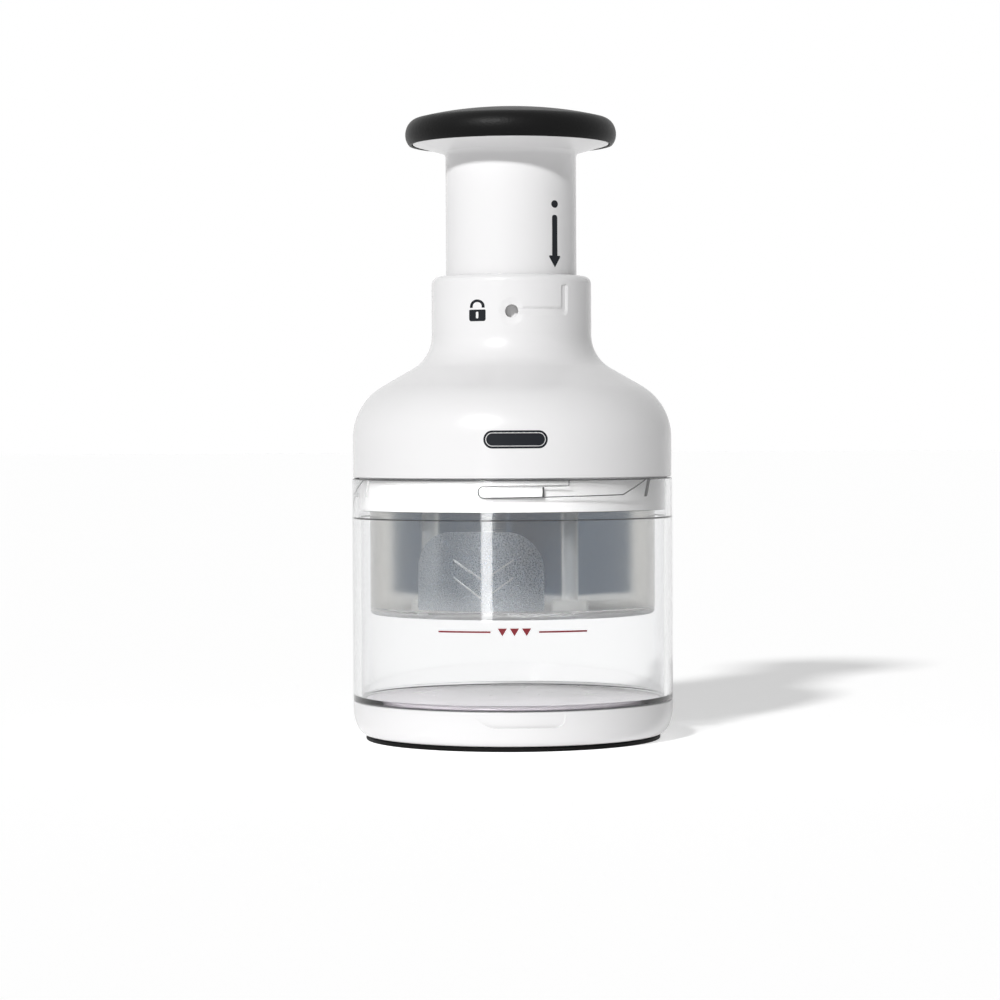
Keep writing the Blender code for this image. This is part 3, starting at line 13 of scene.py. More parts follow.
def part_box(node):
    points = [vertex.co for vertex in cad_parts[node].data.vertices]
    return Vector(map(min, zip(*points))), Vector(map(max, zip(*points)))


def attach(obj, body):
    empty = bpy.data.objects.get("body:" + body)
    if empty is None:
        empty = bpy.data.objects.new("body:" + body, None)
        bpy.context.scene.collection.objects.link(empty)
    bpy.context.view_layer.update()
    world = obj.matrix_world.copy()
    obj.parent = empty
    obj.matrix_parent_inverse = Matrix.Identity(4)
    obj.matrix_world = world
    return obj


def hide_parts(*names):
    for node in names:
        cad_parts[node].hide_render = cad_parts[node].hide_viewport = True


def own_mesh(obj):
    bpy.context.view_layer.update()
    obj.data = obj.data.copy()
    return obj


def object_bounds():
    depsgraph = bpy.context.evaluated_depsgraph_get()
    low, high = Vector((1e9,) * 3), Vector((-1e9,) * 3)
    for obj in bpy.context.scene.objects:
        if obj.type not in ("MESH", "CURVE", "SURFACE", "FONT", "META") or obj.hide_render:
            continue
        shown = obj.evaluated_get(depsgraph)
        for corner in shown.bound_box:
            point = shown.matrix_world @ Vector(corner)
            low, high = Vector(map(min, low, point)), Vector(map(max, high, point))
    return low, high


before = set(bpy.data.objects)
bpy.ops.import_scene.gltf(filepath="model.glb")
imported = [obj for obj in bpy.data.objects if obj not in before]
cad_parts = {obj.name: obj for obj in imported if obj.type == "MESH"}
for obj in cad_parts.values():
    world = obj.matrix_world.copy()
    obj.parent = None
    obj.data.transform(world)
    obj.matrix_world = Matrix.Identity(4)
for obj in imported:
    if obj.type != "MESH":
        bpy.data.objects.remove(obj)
CAD_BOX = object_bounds()

MM = 0.001

# Steps round a large turned piece, round a small one, and along a rounded corner
ROUND = 144
SMALL_ROUND = 48
CORNER_STEPS = 3


def low(node):
    """Height of a CAD node's lowest point."""
    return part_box(node)[0].z


def high(node):
    """Height of a CAD node's highest point."""
    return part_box(node)[1].z


def reach(node):
    """Radius of a CAD node that is turned round Z."""
    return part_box(node)[1].x


# Base
FOOT_RADIUS = reach("foot_ring")
FOOT_TOP = 1.4 * MM
BASE_BOTTOM = low("base_cap")
BASE_TOP = high("base_cap")
BASE_FLAT_RADIUS = FOOT_RADIUS - 0.3 * MM
DECK_TOP = BASE_TOP - 1.5 * MM
SOCKET_FLOOR = BASE_TOP - 6.2 * MM
NOTCH_SPAN = (-15.0, 18.5)
NOTCH_HEIGHT = 5.2 * MM
NOTCH_DEPTH = (0.12 * MM, 1.25 * MM)

# Cup
CUP_RADIUS = reach("cup")
CUP_FOOT = low("cup")
CUP_RIM = high("cup")
CUP_SHOULDER = BASE_TOP + 0.3 * MM
CUP_INNER = CUP_RADIUS - 2.8 * MM
CUP_RIM_INNER = CUP_RADIUS - 1.8 * MM
CUP_LEDGE = CUP_RIM - 13.3 * MM
CHANNEL_OUTER = CUP_RADIUS - 0.7 * MM
SPIGOT_OUTER = CUP_RADIUS - 1.9 * MM
SPIGOT_INNER = SPIGOT_OUTER - 1.5 * MM
FILL_HEIGHT = 39.0 * MM

# Bayonet
LUG_TOP = CUP_RIM - 2.4 * MM
LUG_BOTTOM = LUG_TOP - 3.3 * MM
LUG_SPAN = (-11.3, 10.2)
CHANNEL_START = -12.0
MOUTH_START = 19.6
CUT_RAMP = (55.2, 57.5)
EDGE_RAMP = (41.8, 55.0)
EDGE_RISE = 0.8 * MM
EDGE_RADIUS = CUP_RADIUS - 0.4 * MM
THIRDS = (0.0, 120.0, 240.0)

# Inner frame
SKIRT_OUTER = CUP_RIM_INNER - 0.6 * MM
SKIRT_INNER = SKIRT_OUTER - 2.0 * MM
SKIRT_BOTTOM = low("inner_frame")
PLATE_TOP = low("bumper_ring") - 0.3 * MM
PLATE_BOTTOM = PLATE_TOP - 2.0 * MM
CHIMNEY_TOP = high("inner_frame")
BOSS_CIRCLE = 40.0 * MM
PILOT_RADIUS = 1.6 * MM
PLATE_HOLE_CIRCLE = 28.2 * MM
PLATE_HOLE_RADIUS = 1.7 * MM

# Housing shell
SHELL_RADIUS = reach("housing_shell")
SHELL_BOTTOM = low("housing_shell")
COLLAR_TOP = high("housing_shell")
SHELL_WALL = 1.7 * MM
NECK_RADIUS = 26.9 * MM
SHOULDER_ROUND = 20.0 * MM
SHOULDER_CENTRE = SHELL_BOTTOM + 13.2 * MM
SHOULDER_SLOPE = 30.0
NECK_FILLET = 13.0 * MM
COLLAR_ROUND = 2.5 * MM
HOLE_HEIGHT = COLLAR_TOP - 12.5 * MM
HOLE_RADIUS = 2.2 * MM
LOCK_TURN = 42.0

# Plunger tube and knob
TUBE_RADIUS = 22.0 * MM
TUBE_INNER = 20.0 * MM
TUBE_BOTTOM = low("knob_sleeve")
FLARE_RADIUS = reach("knob_sleeve")
FLARE_TOP = high("knob_sleeve")
FLARE_ROOT = TUBE_BOTTOM + 60.1 * MM
FLARE_SLOPE = 15.5
FLARE_EDGE = FLARE_TOP - 3.0 * MM
GRIP_RADIUS = reach("grip_pad")
GRIP_BOTTOM = high("knob_plate") + 0.3 * MM
GRIP_PEAK = high("grip_pad") - 1.0 * MM

# Blades, carrier and guard; both are turned a little from the front
UNIT_TURN = -7.5
GUARD_OUTER = CUP_INNER - 3.2 * MM
GUARD_INNER = GUARD_OUTER - 1.7 * MM
GUARD_BOTTOM = low("blade_guard")
GUARD_TOP = high("blade_guard")
GUARD_FLOOR_TOP = GUARD_BOTTOM + 2.0 * MM
FLANGE_BOTTOM = SKIRT_BOTTOM + 1.6 * MM
BLADE_EDGE = low("blade_front")
BLADE_TOP = high("blade_front")
BLADE_THICKNESS = 0.8 * MM
BLADE_TIP = (GUARD_INNER - 6.3 * MM, 5.0 * MM)
BLADE_FOLD = (22.5 * MM, 27.0 * MM)
BLADE_MIDDLE = 9.0 * MM
POST_Y = BLADE_FOLD[1] + 4.8 * MM
POST_RADIUS = 2.6 * MM
POST_TOP = PLATE_BOTTOM - 6.0 * MM
PATCH_AZIMUTH = -6.1
PATCH_SPAN = 53.0
RIBS_AZIMUTH = -3.9

# Springs
SPRING_RADIUS = 15.0 * MM
SPRING_WIRE = 1.6 * MM
SPRING_TURNS = 10
BUFFER_RADIUS = 4.9 * MM
BUFFER_WIRE = 0.9 * MM
BUFFER_TURNS = 8
DEAD_GAP = 0.5 * MM

# Prints
INK_THICKNESS = 0.03 * MM

# Camera, from the photograph's perspective
CAMERA_LENS = 110.52
CAMERA_PLACE = (-0.00405, -1.037, 0.1016)
CAMERA_DIP = 1.176
CAMERA_ROLL = 0.27

# Light: the key lamp, the low strip lamp that shines in gloss, and how bright the room and floor are
KEY_AZIMUTH = -23.5
KEY_ELEVATION = 30.5
KEY_SPREAD = 5.0
KEY_STRENGTH = 2.5
STRIP_AZIMUTH = -18.0
STRIP_DISTANCE = 0.75
STRIP_SIZE = (0.1, 0.064)
STRIP_POWER = 0.12
AMBIENT = 0.06
FLOOR_BOUNCE = 0.31
FLOOR_GLOW = 0.57
FLOOR_SIZE = 60.0


def polar(radius, azimuth, height=0.0):
    """A point at a radius, an azimuth from the front and a height."""
    angle = math.radians(azimuth)
    return Vector((radius * math.sin(angle), -radius * math.cos(angle), height))


def arc(centre, radii, start, end, steps):
    """Points on a stretch of ellipse; its angles are in degrees above the +X side."""
    angles = [math.radians(start + (end - start) * i / steps) for i in range(steps + 1)]
    return [(centre[0] + radii[0] * math.cos(a), centre[1] + radii[1] * math.sin(a)) for a in angles]


def softened(corners, closed=True, steps=CORNER_STEPS):
    """An outline with rounded corners: each corner is (across, up) or (across, up, rounding)."""
    points = []
    last = len(corners) - 1
    for i, corner in enumerate(corners):
        here = Vector(corner[:2])
        if len(corner) < 3 or (not closed and i in (0, last)):
            points.append(tuple(here))
            continue
        before = Vector(corners[i - 1][:2]) - here
        after = Vector(corners[(i + 1) % len(corners)][:2]) - here
        half = before.angle(after) / 2
        run = min(corner[2] / math.tan(half), before.length * 0.49, after.length * 0.49)
        rounding = run * math.tan(half)
        middle = here + (before.normalized() + after.normalized()).normalized() * rounding / math.sin(half)
        first = (here + before.normalized() * run - middle).normalized()
        second = (here + after.normalized() * run - middle).normalized()
        for k in range(steps + 1):
            points.append(tuple(middle + first.slerp(second, k / steps) * rounding))
    return points


def panel(left, right, bottom, top, roundings=(), steps=CORNER_STEPS):
    """A rectangle's outline; any roundings are those of its corners, round from the lower left."""
    corners = [(left, bottom), (right, bottom), (right, top), (left, top)]
    if not roundings:
        return corners
    return softened([(*corner, rounding) for corner, rounding in zip(corners, roundings)], steps=steps)


def shell_side(inset, steps):
    """The shell's side from the neck down to its straight wall, set in by a distance."""
    slope = math.radians(SHOULDER_SLOPE)
    turn = 90.0 - SHOULDER_SLOPE
    centre = (SHELL_RADIUS - SHOULDER_ROUND, SHOULDER_CENTRE)
    fillet_radius = NECK_RADIUS + NECK_FILLET
    meeting_radius = centre[0] + SHOULDER_ROUND * math.sin(slope)
    meeting_height = centre[1] + SHOULDER_ROUND * math.cos(slope)
    foot = fillet_radius - NECK_FILLET * math.sin(slope)
    rise = (meeting_radius - foot) * math.tan(slope)
    fillet_centre = (fillet_radius, meeting_height + rise + NECK_FILLET * math.cos(slope))
    fillet = NECK_FILLET + inset
    rounding = SHOULDER_ROUND - inset
    return [
        *arc(fillet_centre, (fillet, fillet), 180.0, 180.0 + turn, steps),
        *arc(centre, (rounding, rounding), turn, 0.0, steps),
    ]


def shell_radius(height):
    """The shell's outer radius at a height of its straight wall or its round shoulder."""
    above = max(0.0, height - SHOULDER_CENTRE)
    return SHELL_RADIUS - SHOULDER_ROUND + math.sqrt(SHOULDER_ROUND**2 - above**2)


def spun(outline, facets=ROUND, closed=True):
    """Sweeps an outline (radius, height) round Z; a point on the axis becomes one vertex."""
    bm = bmesh.new()
    rings = []
    for radius, height in outline:
        if radius < 1e-7:
            rings.append([bm.verts.new((0.0, 0.0, height))])
        else:
            rings.append([bm.verts.new(polar(radius, 360.0 * i / facets, height)) for i in range(facets)])
    pairs = list(zip(rings, rings[1:]))
    if closed:
        pairs.append((rings[-1], rings[0]))
    for upper, lower in pairs:
        for i in range(facets):
            j = (i + 1) % facets
            loop = [ring[k % len(ring)] for ring, k in ((upper, i), (upper, j), (lower, j), (lower, i))]
            corners = list(dict.fromkeys(loop))
            if len(corners) > 2:
                bm.faces.new(corners)
    bmesh.ops.recalc_face_normals(bm, faces=bm.faces)
    return bm


def wrapped(outline, azimuth, inner, outer, step=1.2 * MM, levels=()):
    """A flat outline (across, up) bent round Z, thick from the inner to the outer radius.

    The two radii are numbers, or functions of the height, and the levels are heights that get an edge.
    """
    bm = bmesh.new()
    bm.faces.new([bm.verts.new((x, 0.0, z)) for x, z in outline])
    left, right = min(x for x, z in outline), max(x for x, z in outline)
    parts = math.ceil((right - left) / step)
    cuts = [((left + i * step, 0.0, 0.0), (1.0, 0.0, 0.0)) for i in range(1, parts)]
    cuts += [((0.0, 0.0, level), (0.0, 0.0, 1.0)) for level in levels]
    for place, normal in cuts:
        geometry = bm.verts[:] + bm.edges[:] + bm.faces[:]
        bmesh.ops.bisect_plane(bm, geom=geometry, plane_co=place, plane_no=normal)
    swept = bmesh.ops.extrude_face_region(bm, geom=bm.faces[:])["geom"]
    outside = {part for part in swept if isinstance(part, bmesh.types.BMVert)}
    for vert in bm.verts:
        height = vert.co.z
        limits = [side(height) if callable(side) else side for side in (inner, outer)]
        turn = math.degrees(vert.co.x / limits[1])
        vert.co = polar(limits[vert in outside], azimuth + turn, height)
    bmesh.ops.recalc_face_normals(bm, faces=bm.faces)
    return bm


def swept_wall(path, section):
    """A wall along a path in plan, mitred at its bends; its section is (sideways, height) points."""
    bm = bmesh.new()
    loops = []
    for i, place in enumerate(path):
        here = Vector(place)
        back = here - Vector(path[i - 1]) if i else Vector(path[1]) - here
        ahead = Vector(path[i + 1]) - here if i < len(path) - 1 else back
        mean = (back.normalized() + ahead.normalized()).normalized()
        across = Vector((-mean.y, mean.x))
        mitre = 1.0 / max(0.3, mean.dot(back.normalized()))
        loops.append([bm.verts.new((*(here + across * side * mitre), height)) for side, height in section])
    count = len(section)
    for first, second in zip(loops, loops[1:]):
        for k in range(count):
            bm.faces.new((first[k], first[(k + 1) % count], second[(k + 1) % count], second[k]))
    bm.faces.new(loops[0])
    bm.faces.new(loops[-1])
    bmesh.ops.recalc_face_normals(bm, faces=bm.faces)
    return bm


def block(size, centre, rounding, steps=2):
    """A box with rounded edges."""
    bm = bmesh.new()
    bmesh.ops.create_cube(bm, size=1.0)
    bmesh.ops.scale(bm, verts=bm.verts, vec=size)
    bmesh.ops.bevel(bm, geom=bm.edges[:], offset=rounding, segments=steps, affect="EDGES", profile=0.5)
    bmesh.ops.translate(bm, verts=bm.verts, vec=centre)
    return bm


def moved(bm, offset):
    """Shifts a mesh."""
    bmesh.ops.translate(bm, verts=bm.verts, vec=offset)
    return bm


def turned(bm, angle, axis="Z"):
    """Turns a mesh round an axis through the origin."""
    matrix = Matrix.Rotation(math.radians(angle), 3, axis)
    bmesh.ops.rotate(bm, verts=bm.verts, cent=(0.0, 0.0, 0.0), matrix=matrix)
    return bm


def added(name, data):
    """A new object in the scene."""
    piece = bpy.data.objects.new(name, data)
    bpy.context.scene.collection.objects.link(piece)
    return piece


def piece_from(name, bm):
    """An object made of a mesh."""
    mesh = bpy.data.meshes.new(name)
    bm.to_mesh(mesh)
    bm.free()
    return added(name, mesh)


def worked_out(piece):
    """A new mesh of a curve, or of a piece with its modifiers."""
    graph = bpy.context.evaluated_depsgraph_get()
    return bpy.data.meshes.new_from_object(piece.evaluated_get(graph), depsgraph=graph)


def settled(piece):
    """Makes a piece's modifiers real."""
    mesh = worked_out(piece)
    piece.modifiers.clear()
    piece.data = mesh
    return piece


def shaped(piece, bm, operation="DIFFERENCE"):
    """Cuts a mesh out of a piece, or joins it on, and throws the tool away."""
    tool = piece_from("tool", bm)
    modifier = piece.modifiers.new("Shape", "BOOLEAN")
    modifier.operation = operation
    modifier.solver = "MANIFOLD"
    modifier.object = tool
    settled(piece)
    bpy.data.objects.remove(tool)
    return piece


def eased(piece, width, angle=50.0, steps=2):
    """Rounds the sharp edges that the cuts left."""
    bevel = piece.modifiers.new("Ease", "BEVEL")
    bevel.width = width
    bevel.segments = steps
    bevel.limit_method = "ANGLE"
    bevel.angle_limit = math.radians(angle)
    bevel.use_clamp_overlap = True
    bevel.harden_normals = False
    return settled(piece)


def dressed(piece, material, body, slot, *nodes):
    """Gives a piece smooth shading and its material, and makes it ride; it stands for these nodes."""
    piece.data.materials.clear()
    piece.data.materials.append(material)
    piece.data.shade_smooth()
    piece.data.set_sharp_from_angle(angle=math.radians(40.0))
    weighted = piece.modifiers.new("Normals", "WEIGHTED_NORMAL")
    weighted.keep_sharp = True
    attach(piece, body)
    if nodes:
        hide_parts(*nodes)
    return piece


def painted(piece, material, test):
    """Gives a second material to the faces whose radius, height and outward slant pass a test."""
    piece.data.materials.append(material)
    index = len(piece.data.materials) - 1
    for face in piece.data.polygons:
        centre = face.center
        radius = math.hypot(centre.x, centre.y)
        outward = (centre.x * face.normal.x + centre.y * face.normal.y) / max(radius, MM)
        if test(radius, centre.z, outward):
            face.material_index = index
    return piece


def new_group(name, inputs, outputs):
    """An empty shader node group; inputs are (name, kind, value) and outputs (name, kind)."""
    group = bpy.data.node_groups.new(name, "ShaderNodeTree")
    for label, kind, value in inputs:
        socket = group.interface.new_socket(label, in_out="INPUT", socket_type=kind)
        socket.default_value = value
    for label, kind in outputs:
        group.interface.new_socket(label, in_out="OUTPUT", socket_type=kind)
    return group, group.nodes.new("NodeGroupInput"), group.nodes.new("NodeGroupOutput")


def closed_group(group, outlet, **results):
    """The group, once its results are linked to the outputs of the same names."""
    for label, socket in results.items():
        group.links.new(socket, outlet.inputs[label])
    return group


def maths(tree, operation, first, second, clamp=False):
    """A Math node; each operand is a socket or a number."""
    node = tree.nodes.new("ShaderNodeMath")
    node.operation = operation
    node.use_clamp = clamp
    for socket, value in zip(node.inputs, (first, second)):
        if isinstance(value, bpy.types.NodeSocket):
            tree.links.new(value, socket)
        else:
            socket.default_value = value
    return node.outputs[0]


def noise(tree, coordinates, scale, detail=3.0, roughness=0.5):
    """A Noise Texture's value on object coordinates; the scale is a socket or a number."""
    node = tree.nodes.new("ShaderNodeTexNoise")
    node.inputs["Detail"].default_value = detail
    node.inputs["Roughness"].default_value = roughness
    tree.links.new(coordinates, node.inputs["Vector"])
    if isinstance(scale, bpy.types.NodeSocket):
        tree.links.new(scale, node.inputs["Scale"])
    else:
        node.inputs["Scale"].default_value = scale
    return node.outputs["Fac"]


def spread_round(tree, value, middle, spread):
    """The middle value plus a spread that follows a 0-1 texture."""
    centred = maths(tree, "SUBTRACT", value, 0.5)
    return maths(tree, "ADD", middle, maths(tree, "MULTIPLY", centred, spread))


def shaded(tree, colour, value, spread):
    """A colour made lighter and darker by a 0-1 texture."""
    scale = tree.nodes.new("ShaderNodeVectorMath")
    scale.operation = "SCALE"
    tree.links.new(colour, scale.inputs[0])
    tree.links.new(spread_round(tree, value, 1.0, spread), scale.inputs["Scale"])
    return scale.outputs["Vector"]


def moulded_skin_group():
    """Skin of a moulding: slow changes of shade and gloss, and a fine orange peel."""
    inputs = [
        ("Colour", "NodeSocketColor", (0.8, 0.8, 0.8, 1.0)),
        ("Shade spread", "NodeSocketFloat", 0.03),
        ("Roughness", "NodeSocketFloat", 0.3),
        ("Roughness spread", "NodeSocketFloat", 0.1),
        ("Flow scale", "NodeSocketFloat", 40.0),
        ("Peel scale", "NodeSocketFloat", 900.0),
    ]
    outputs = [("Colour", "NodeSocketColor"), ("Roughness", "NodeSocketFloat"), ("Height", "NodeSocketFloat")]
    group, inlet, outlet = new_group("moulded_skin", inputs, outputs)
    place = group.nodes.new("ShaderNodeTexCoord").outputs["Object"]
    flow = noise(group, place, inlet.outputs["Flow scale"], 4.0, 0.55)
    peel = noise(group, place, inlet.outputs["Peel scale"], 2.0)
    colour = shaded(group, inlet.outputs["Colour"], flow, inlet.outputs["Shade spread"])
    handled = noise(group, place, maths(group, "MULTIPLY", inlet.outputs["Flow scale"], 3.0), 5.0, 0.6)
    rough = spread_round(group, handled, inlet.outputs["Roughness"], inlet.outputs["Roughness spread"])
    return closed_group(group, outlet, Colour=colour, Roughness=rough, Height=peel)


def drawn_metal_group():
    """Lines of brushed or ground metal; the stretch squeezes the texture across the lines."""
    inputs = [
        ("Colour", "NodeSocketColor", (0.6, 0.6, 0.6, 1.0)),
        ("Shade spread", "NodeSocketFloat", 0.1),
        ("Roughness", "NodeSocketFloat", 0.25),
        ("Roughness spread", "NodeSocketFloat", 0.15),
        ("Stretch", "NodeSocketVector", (40.0, 40.0, 1600.0)),
    ]
    outputs = [("Colour", "NodeSocketColor"), ("Roughness", "NodeSocketFloat"), ("Height", "NodeSocketFloat")]
    group, inlet, outlet = new_group("drawn_metal", inputs, outputs)
    place = group.nodes.new("ShaderNodeTexCoord").outputs["Object"]
    stretch = group.nodes.new("ShaderNodeVectorMath")
    stretch.operation = "MULTIPLY"
    group.links.new(place, stretch.inputs[0])
    group.links.new(inlet.outputs["Stretch"], stretch.inputs[1])
    lines = noise(group, stretch.outputs["Vector"], 1.0, 4.0, 0.6)
    clouds = noise(group, place, 60.0, 3.0)
    mixed = maths(group, "MULTIPLY", maths(group, "ADD", lines, clouds), 0.5)
    colour = shaded(group, inlet.outputs["Colour"], mixed, inlet.outputs["Shade spread"])
    rough = spread_round(group, lines, inlet.outputs["Roughness"], inlet.outputs["Roughness spread"])
    return closed_group(group, outlet, Colour=colour, Roughness=rough, Height=lines)


def grain_group():
    """Spark-eroded grain: small raised cells on a soft ground."""
    inputs = [
        ("Cell scale", "NodeSocketFloat", 2200.0),
        ("Roughness", "NodeSocketFloat", 0.5),
        ("Roughness spread", "NodeSocketFloat", 0.2),
    ]
    outputs = [("Roughness", "NodeSocketFloat"), ("Height", "NodeSocketFloat")]
    group, inlet, outlet = new_group("spark_grain", inputs, outputs)
    place = group.nodes.new("ShaderNodeTexCoord").outputs["Object"]
    cells = group.nodes.new("ShaderNodeTexVoronoi")
    group.links.new(place, cells.inputs["Vector"])
    group.links.new(inlet.outputs["Cell scale"], cells.inputs["Scale"])
    fine = noise(group, place, inlet.outputs["Cell scale"], 3.0, 0.6)
    height = maths(group, "ADD", maths(group, "MULTIPLY", cells.outputs["Distance"], 0.6), fine)
    rough = spread_round(group, fine, inlet.outputs["Roughness"], inlet.outputs["Roughness spread"])
    return closed_group(group, outlet, Roughness=rough, Height=height)


MOULDED_SKIN = moulded_skin_group()
DRAWN_METAL = drawn_metal_group()
SPARK_GRAIN = grain_group()


def blank_material(name):
    """A material with its tree and Principled BSDF."""
    material = bpy.data.materials.new(name)
    material.use_nodes = True
    return material, material.node_tree, material.node_tree.nodes["Principled BSDF"]


def placed_group(tree, group, **values):
    """Puts a node group into a material; a value's name is its input's, with _ for a space."""
    node = tree.nodes.new("ShaderNodeGroup")
    node.node_tree = group
    for label, value in values.items():
        node.inputs[label.replace("_", " ").capitalize()].default_value = value
    return node


def placed_skin(tree, colour, shade, roughness, spread, flow, peel):
    """Puts the moulded skin into a material."""
    return placed_group(
        tree,
        MOULDED_SKIN,
        colour=(*colour, 1.0),
        shade_spread=shade,
        roughness=roughness,
        roughness_spread=spread,
        flow_scale=flow,
        peel_scale=peel,
    )


def add_relief(tree, shader, texture, strength, depth):
    """Feeds a texture group's roughness and height into the shader."""
    tree.links.new(texture.outputs["Roughness"], shader.inputs["Roughness"])
    bump = tree.nodes.new("ShaderNodeBump")
    bump.inputs["Strength"].default_value = strength
    bump.inputs["Distance"].default_value = depth
    tree.links.new(texture.outputs["Height"], bump.inputs["Height"])
    tree.links.new(bump.outputs["Normal"], shader.inputs["Normal"])


def moulded(
    name, colour, roughness, shade=0.03, spread=0.1,
    flow=40.0, peel=900.0, depth=0.00001, strength=0.3, specular=0.5,
):
    """Opaque moulded plastic or rubber."""
    material, tree, shader = blank_material(name)
    skin = placed_skin(tree, colour, shade, roughness, spread, flow, peel)
    shader.inputs["Specular IOR Level"].default_value = specular
    tree.links.new(skin.outputs["Colour"], shader.inputs["Base Color"])
    add_relief(tree, shader, skin, strength, depth)
    return material


def metal(name, colour, roughness, stretch, shade=0.12, spread=0.15):
    """Bare metal with drawn or ground lines."""
    material, tree, shader = blank_material(name)
    lines = placed_group(
        tree,
        DRAWN_METAL,
        colour=(*colour, 1.0),
        shade_spread=shade,
        roughness=roughness,
        roughness_spread=spread,
        stretch=stretch,
    )
    shader.inputs["Metallic"].default_value = 1.0
    tree.links.new(lines.outputs["Colour"], shader.inputs["Base Color"])
    add_relief(tree, shader, lines, 0.25, 0.00002)
    return material


def clear(
    name, colour, roughness, side, fall=1.6, peel=300.0, strength=0.1, shadow=0.9, transmission=1.0
):
    """Clear plastic, with painted shade that darkens its colour where it is seen from the side; a lamp's
    light passes through it.
    """
    material, tree, shader = blank_material(name)
    skin = placed_skin(tree, colour, 0.02, roughness, 0.03, 25.0, peel)
    shader.inputs["Transmission Weight"].default_value = transmission
    shader.inputs["IOR"].default_value = 1.5
    paint_edge_on_shade(tree, shader, skin.outputs["Colour"], side, fall)
    add_relief(tree, shader, skin, strength, 0.00001)
    let_lamps_through(tree, shader, shadow)
    return material


def paint_edge_on_shade(tree, shader, colour, edge_on_shade, power):
    """Painted shade: blends a clear wall's colour towards a darker colour where it is seen edge-on."""
    weight = tree.nodes.new("ShaderNodeLayerWeight")
    fall = maths(tree, "POWER", weight.outputs["Facing"], power)
    mix = tree.nodes.new("ShaderNodeMix")
    mix.data_type = "RGBA"
    tree.links.new(fall, mix.inputs["Factor"])
    tree.links.new(colour, mix.inputs["A"])
    mix.inputs["B"].default_value = (*edge_on_shade, 1.0)
    tree.links.new(mix.outputs["Result"], shader.inputs["Base Color"])


def let_lamps_through(tree, shader, share):
    """Mixes in a plain transparent shader for shadow rays."""
    clear_way = tree.nodes.new("ShaderNodeBsdfTransparent")
    clear_way.inputs["Color"].default_value = (share, share, share, 1.0)
    path = tree.nodes.new("ShaderNodeLightPath")
    mix = tree.nodes.new("ShaderNodeMixShader")
    tree.links.new(path.outputs["Is Shadow Ray"], mix.inputs["Fac"])
    tree.links.new(shader.outputs["BSDF"], mix.inputs[1])
    tree.links.new(clear_way.outputs["BSDF"], mix.inputs[2])
    output = tree.nodes["Material Output"]
    tree.links.new(mix.outputs["Shader"], output.inputs["Surface"])


def textured_patch(name):
    """The grip patch: frosted clear plastic with a spark-eroded grain."""
    material = clear(name, (0.78, 0.82, 0.87), 0.3, (0.64, 0.68, 0.73))
    tree = material.node_tree
    grain = placed_group(tree, SPARK_GRAIN, cell_scale=2300.0, roughness=0.27, roughness_spread=0.42)
    add_relief(tree, tree.nodes["Principled BSDF"], grain, 0.9, 0.0001)
    return material


WHITE = moulded("glossy_white", (0.87, 0.865, 0.87), 0.24, shade=0.012, spread=0.06)
INNER_WHITE = moulded("satin_white", (0.82, 0.815, 0.81), 0.38, shade=0.03, peel=1400.0)
GREY = moulded("index_grey", (0.42, 0.43, 0.45), 0.42, shade=0.06, peel=1400.0)
PAD_GREY = moulded(
    "pad_grey", (0.43, 0.395, 0.43), 0.16, shade=0.1, spread=0.08, flow=60.0, strength=0.06
)
GRIP_BLACK = moulded(
    "grip_black", (0.004, 0.004, 0.0041), 0.42, shade=0.3, spread=0.12,
    flow=110.0, peel=1500.0, depth=0.00012, strength=0.7, specular=0.12,
)
FOOT_BLACK = moulded("foot_black", (0.004, 0.004, 0.004), 0.6, shade=0.2, peel=2200.0, specular=0.1)
BUMPER_BLACK = moulded("bumper_black", (0.03, 0.03, 0.032), 0.7, shade=0.2, peel=1800.0)
INK = moulded("dark_ink", (0.011, 0.013, 0.017), 0.5, shade=0.15, peel=3000.0, specular=0.15)
RED_INK = moulded("red_ink", (0.20, 0.004, 0.012), 0.4, shade=0.1, peel=3000.0)
PALE_INK = moulded("pale_ink", (0.86, 0.86, 0.86), 0.3, shade=0.02, peel=3000.0)
# The fourth colour of each clear material is its painted shade where the wall is seen edge-on
CLEAR = clear("clear_wall", (0.98, 0.982, 0.984), 0.012, (0.55, 0.555, 0.57), fall=2.6)
# Painted shade: nearly black clear plastic for the dark lines that refraction draws at the clear plastic's
# edges
PAINTED_EDGE_SHADE = clear("painted_edge_shade", (0.05, 0.052, 0.055), 0.10, (0.03, 0.03, 0.035), shadow=0.5)
GUARD_CLEAR = clear(
    "guard_clear", (0.91, 0.915, 0.905), 0.17, (0.70, 0.67, 0.61), peel=600.0, strength=0.2, shadow=0.75
)
POST_FROST = clear(
    "post_frost", (0.95, 0.955, 0.955), 0.38, (0.86, 0.87, 0.88), shadow=0.6, transmission=0.9
)
PATCH = textured_patch("guard_grain")
BLADE_STEEL = metal("blade_steel", (0.09, 0.13, 0.19), 0.32, (24.0, 24.0, 1400.0), shade=0.06)
EDGE_STEEL = metal("ground_edge", (0.72, 0.73, 0.74), 0.18, (60.0, 60.0, 2600.0))
SPRING_STEEL = metal("spring_steel", (0.52, 0.52, 0.53), 0.28, (900.0, 900.0, 900.0))
SCREW_STEEL = metal("screw_steel", (0.58, 0.58, 0.59), 0.3, (300.0, 300.0, 1500.0))
SHAFT_STEEL = metal("shaft_steel", (0.60, 0.61, 0.62), 0.2, (50.0, 50.0, 2400.0))


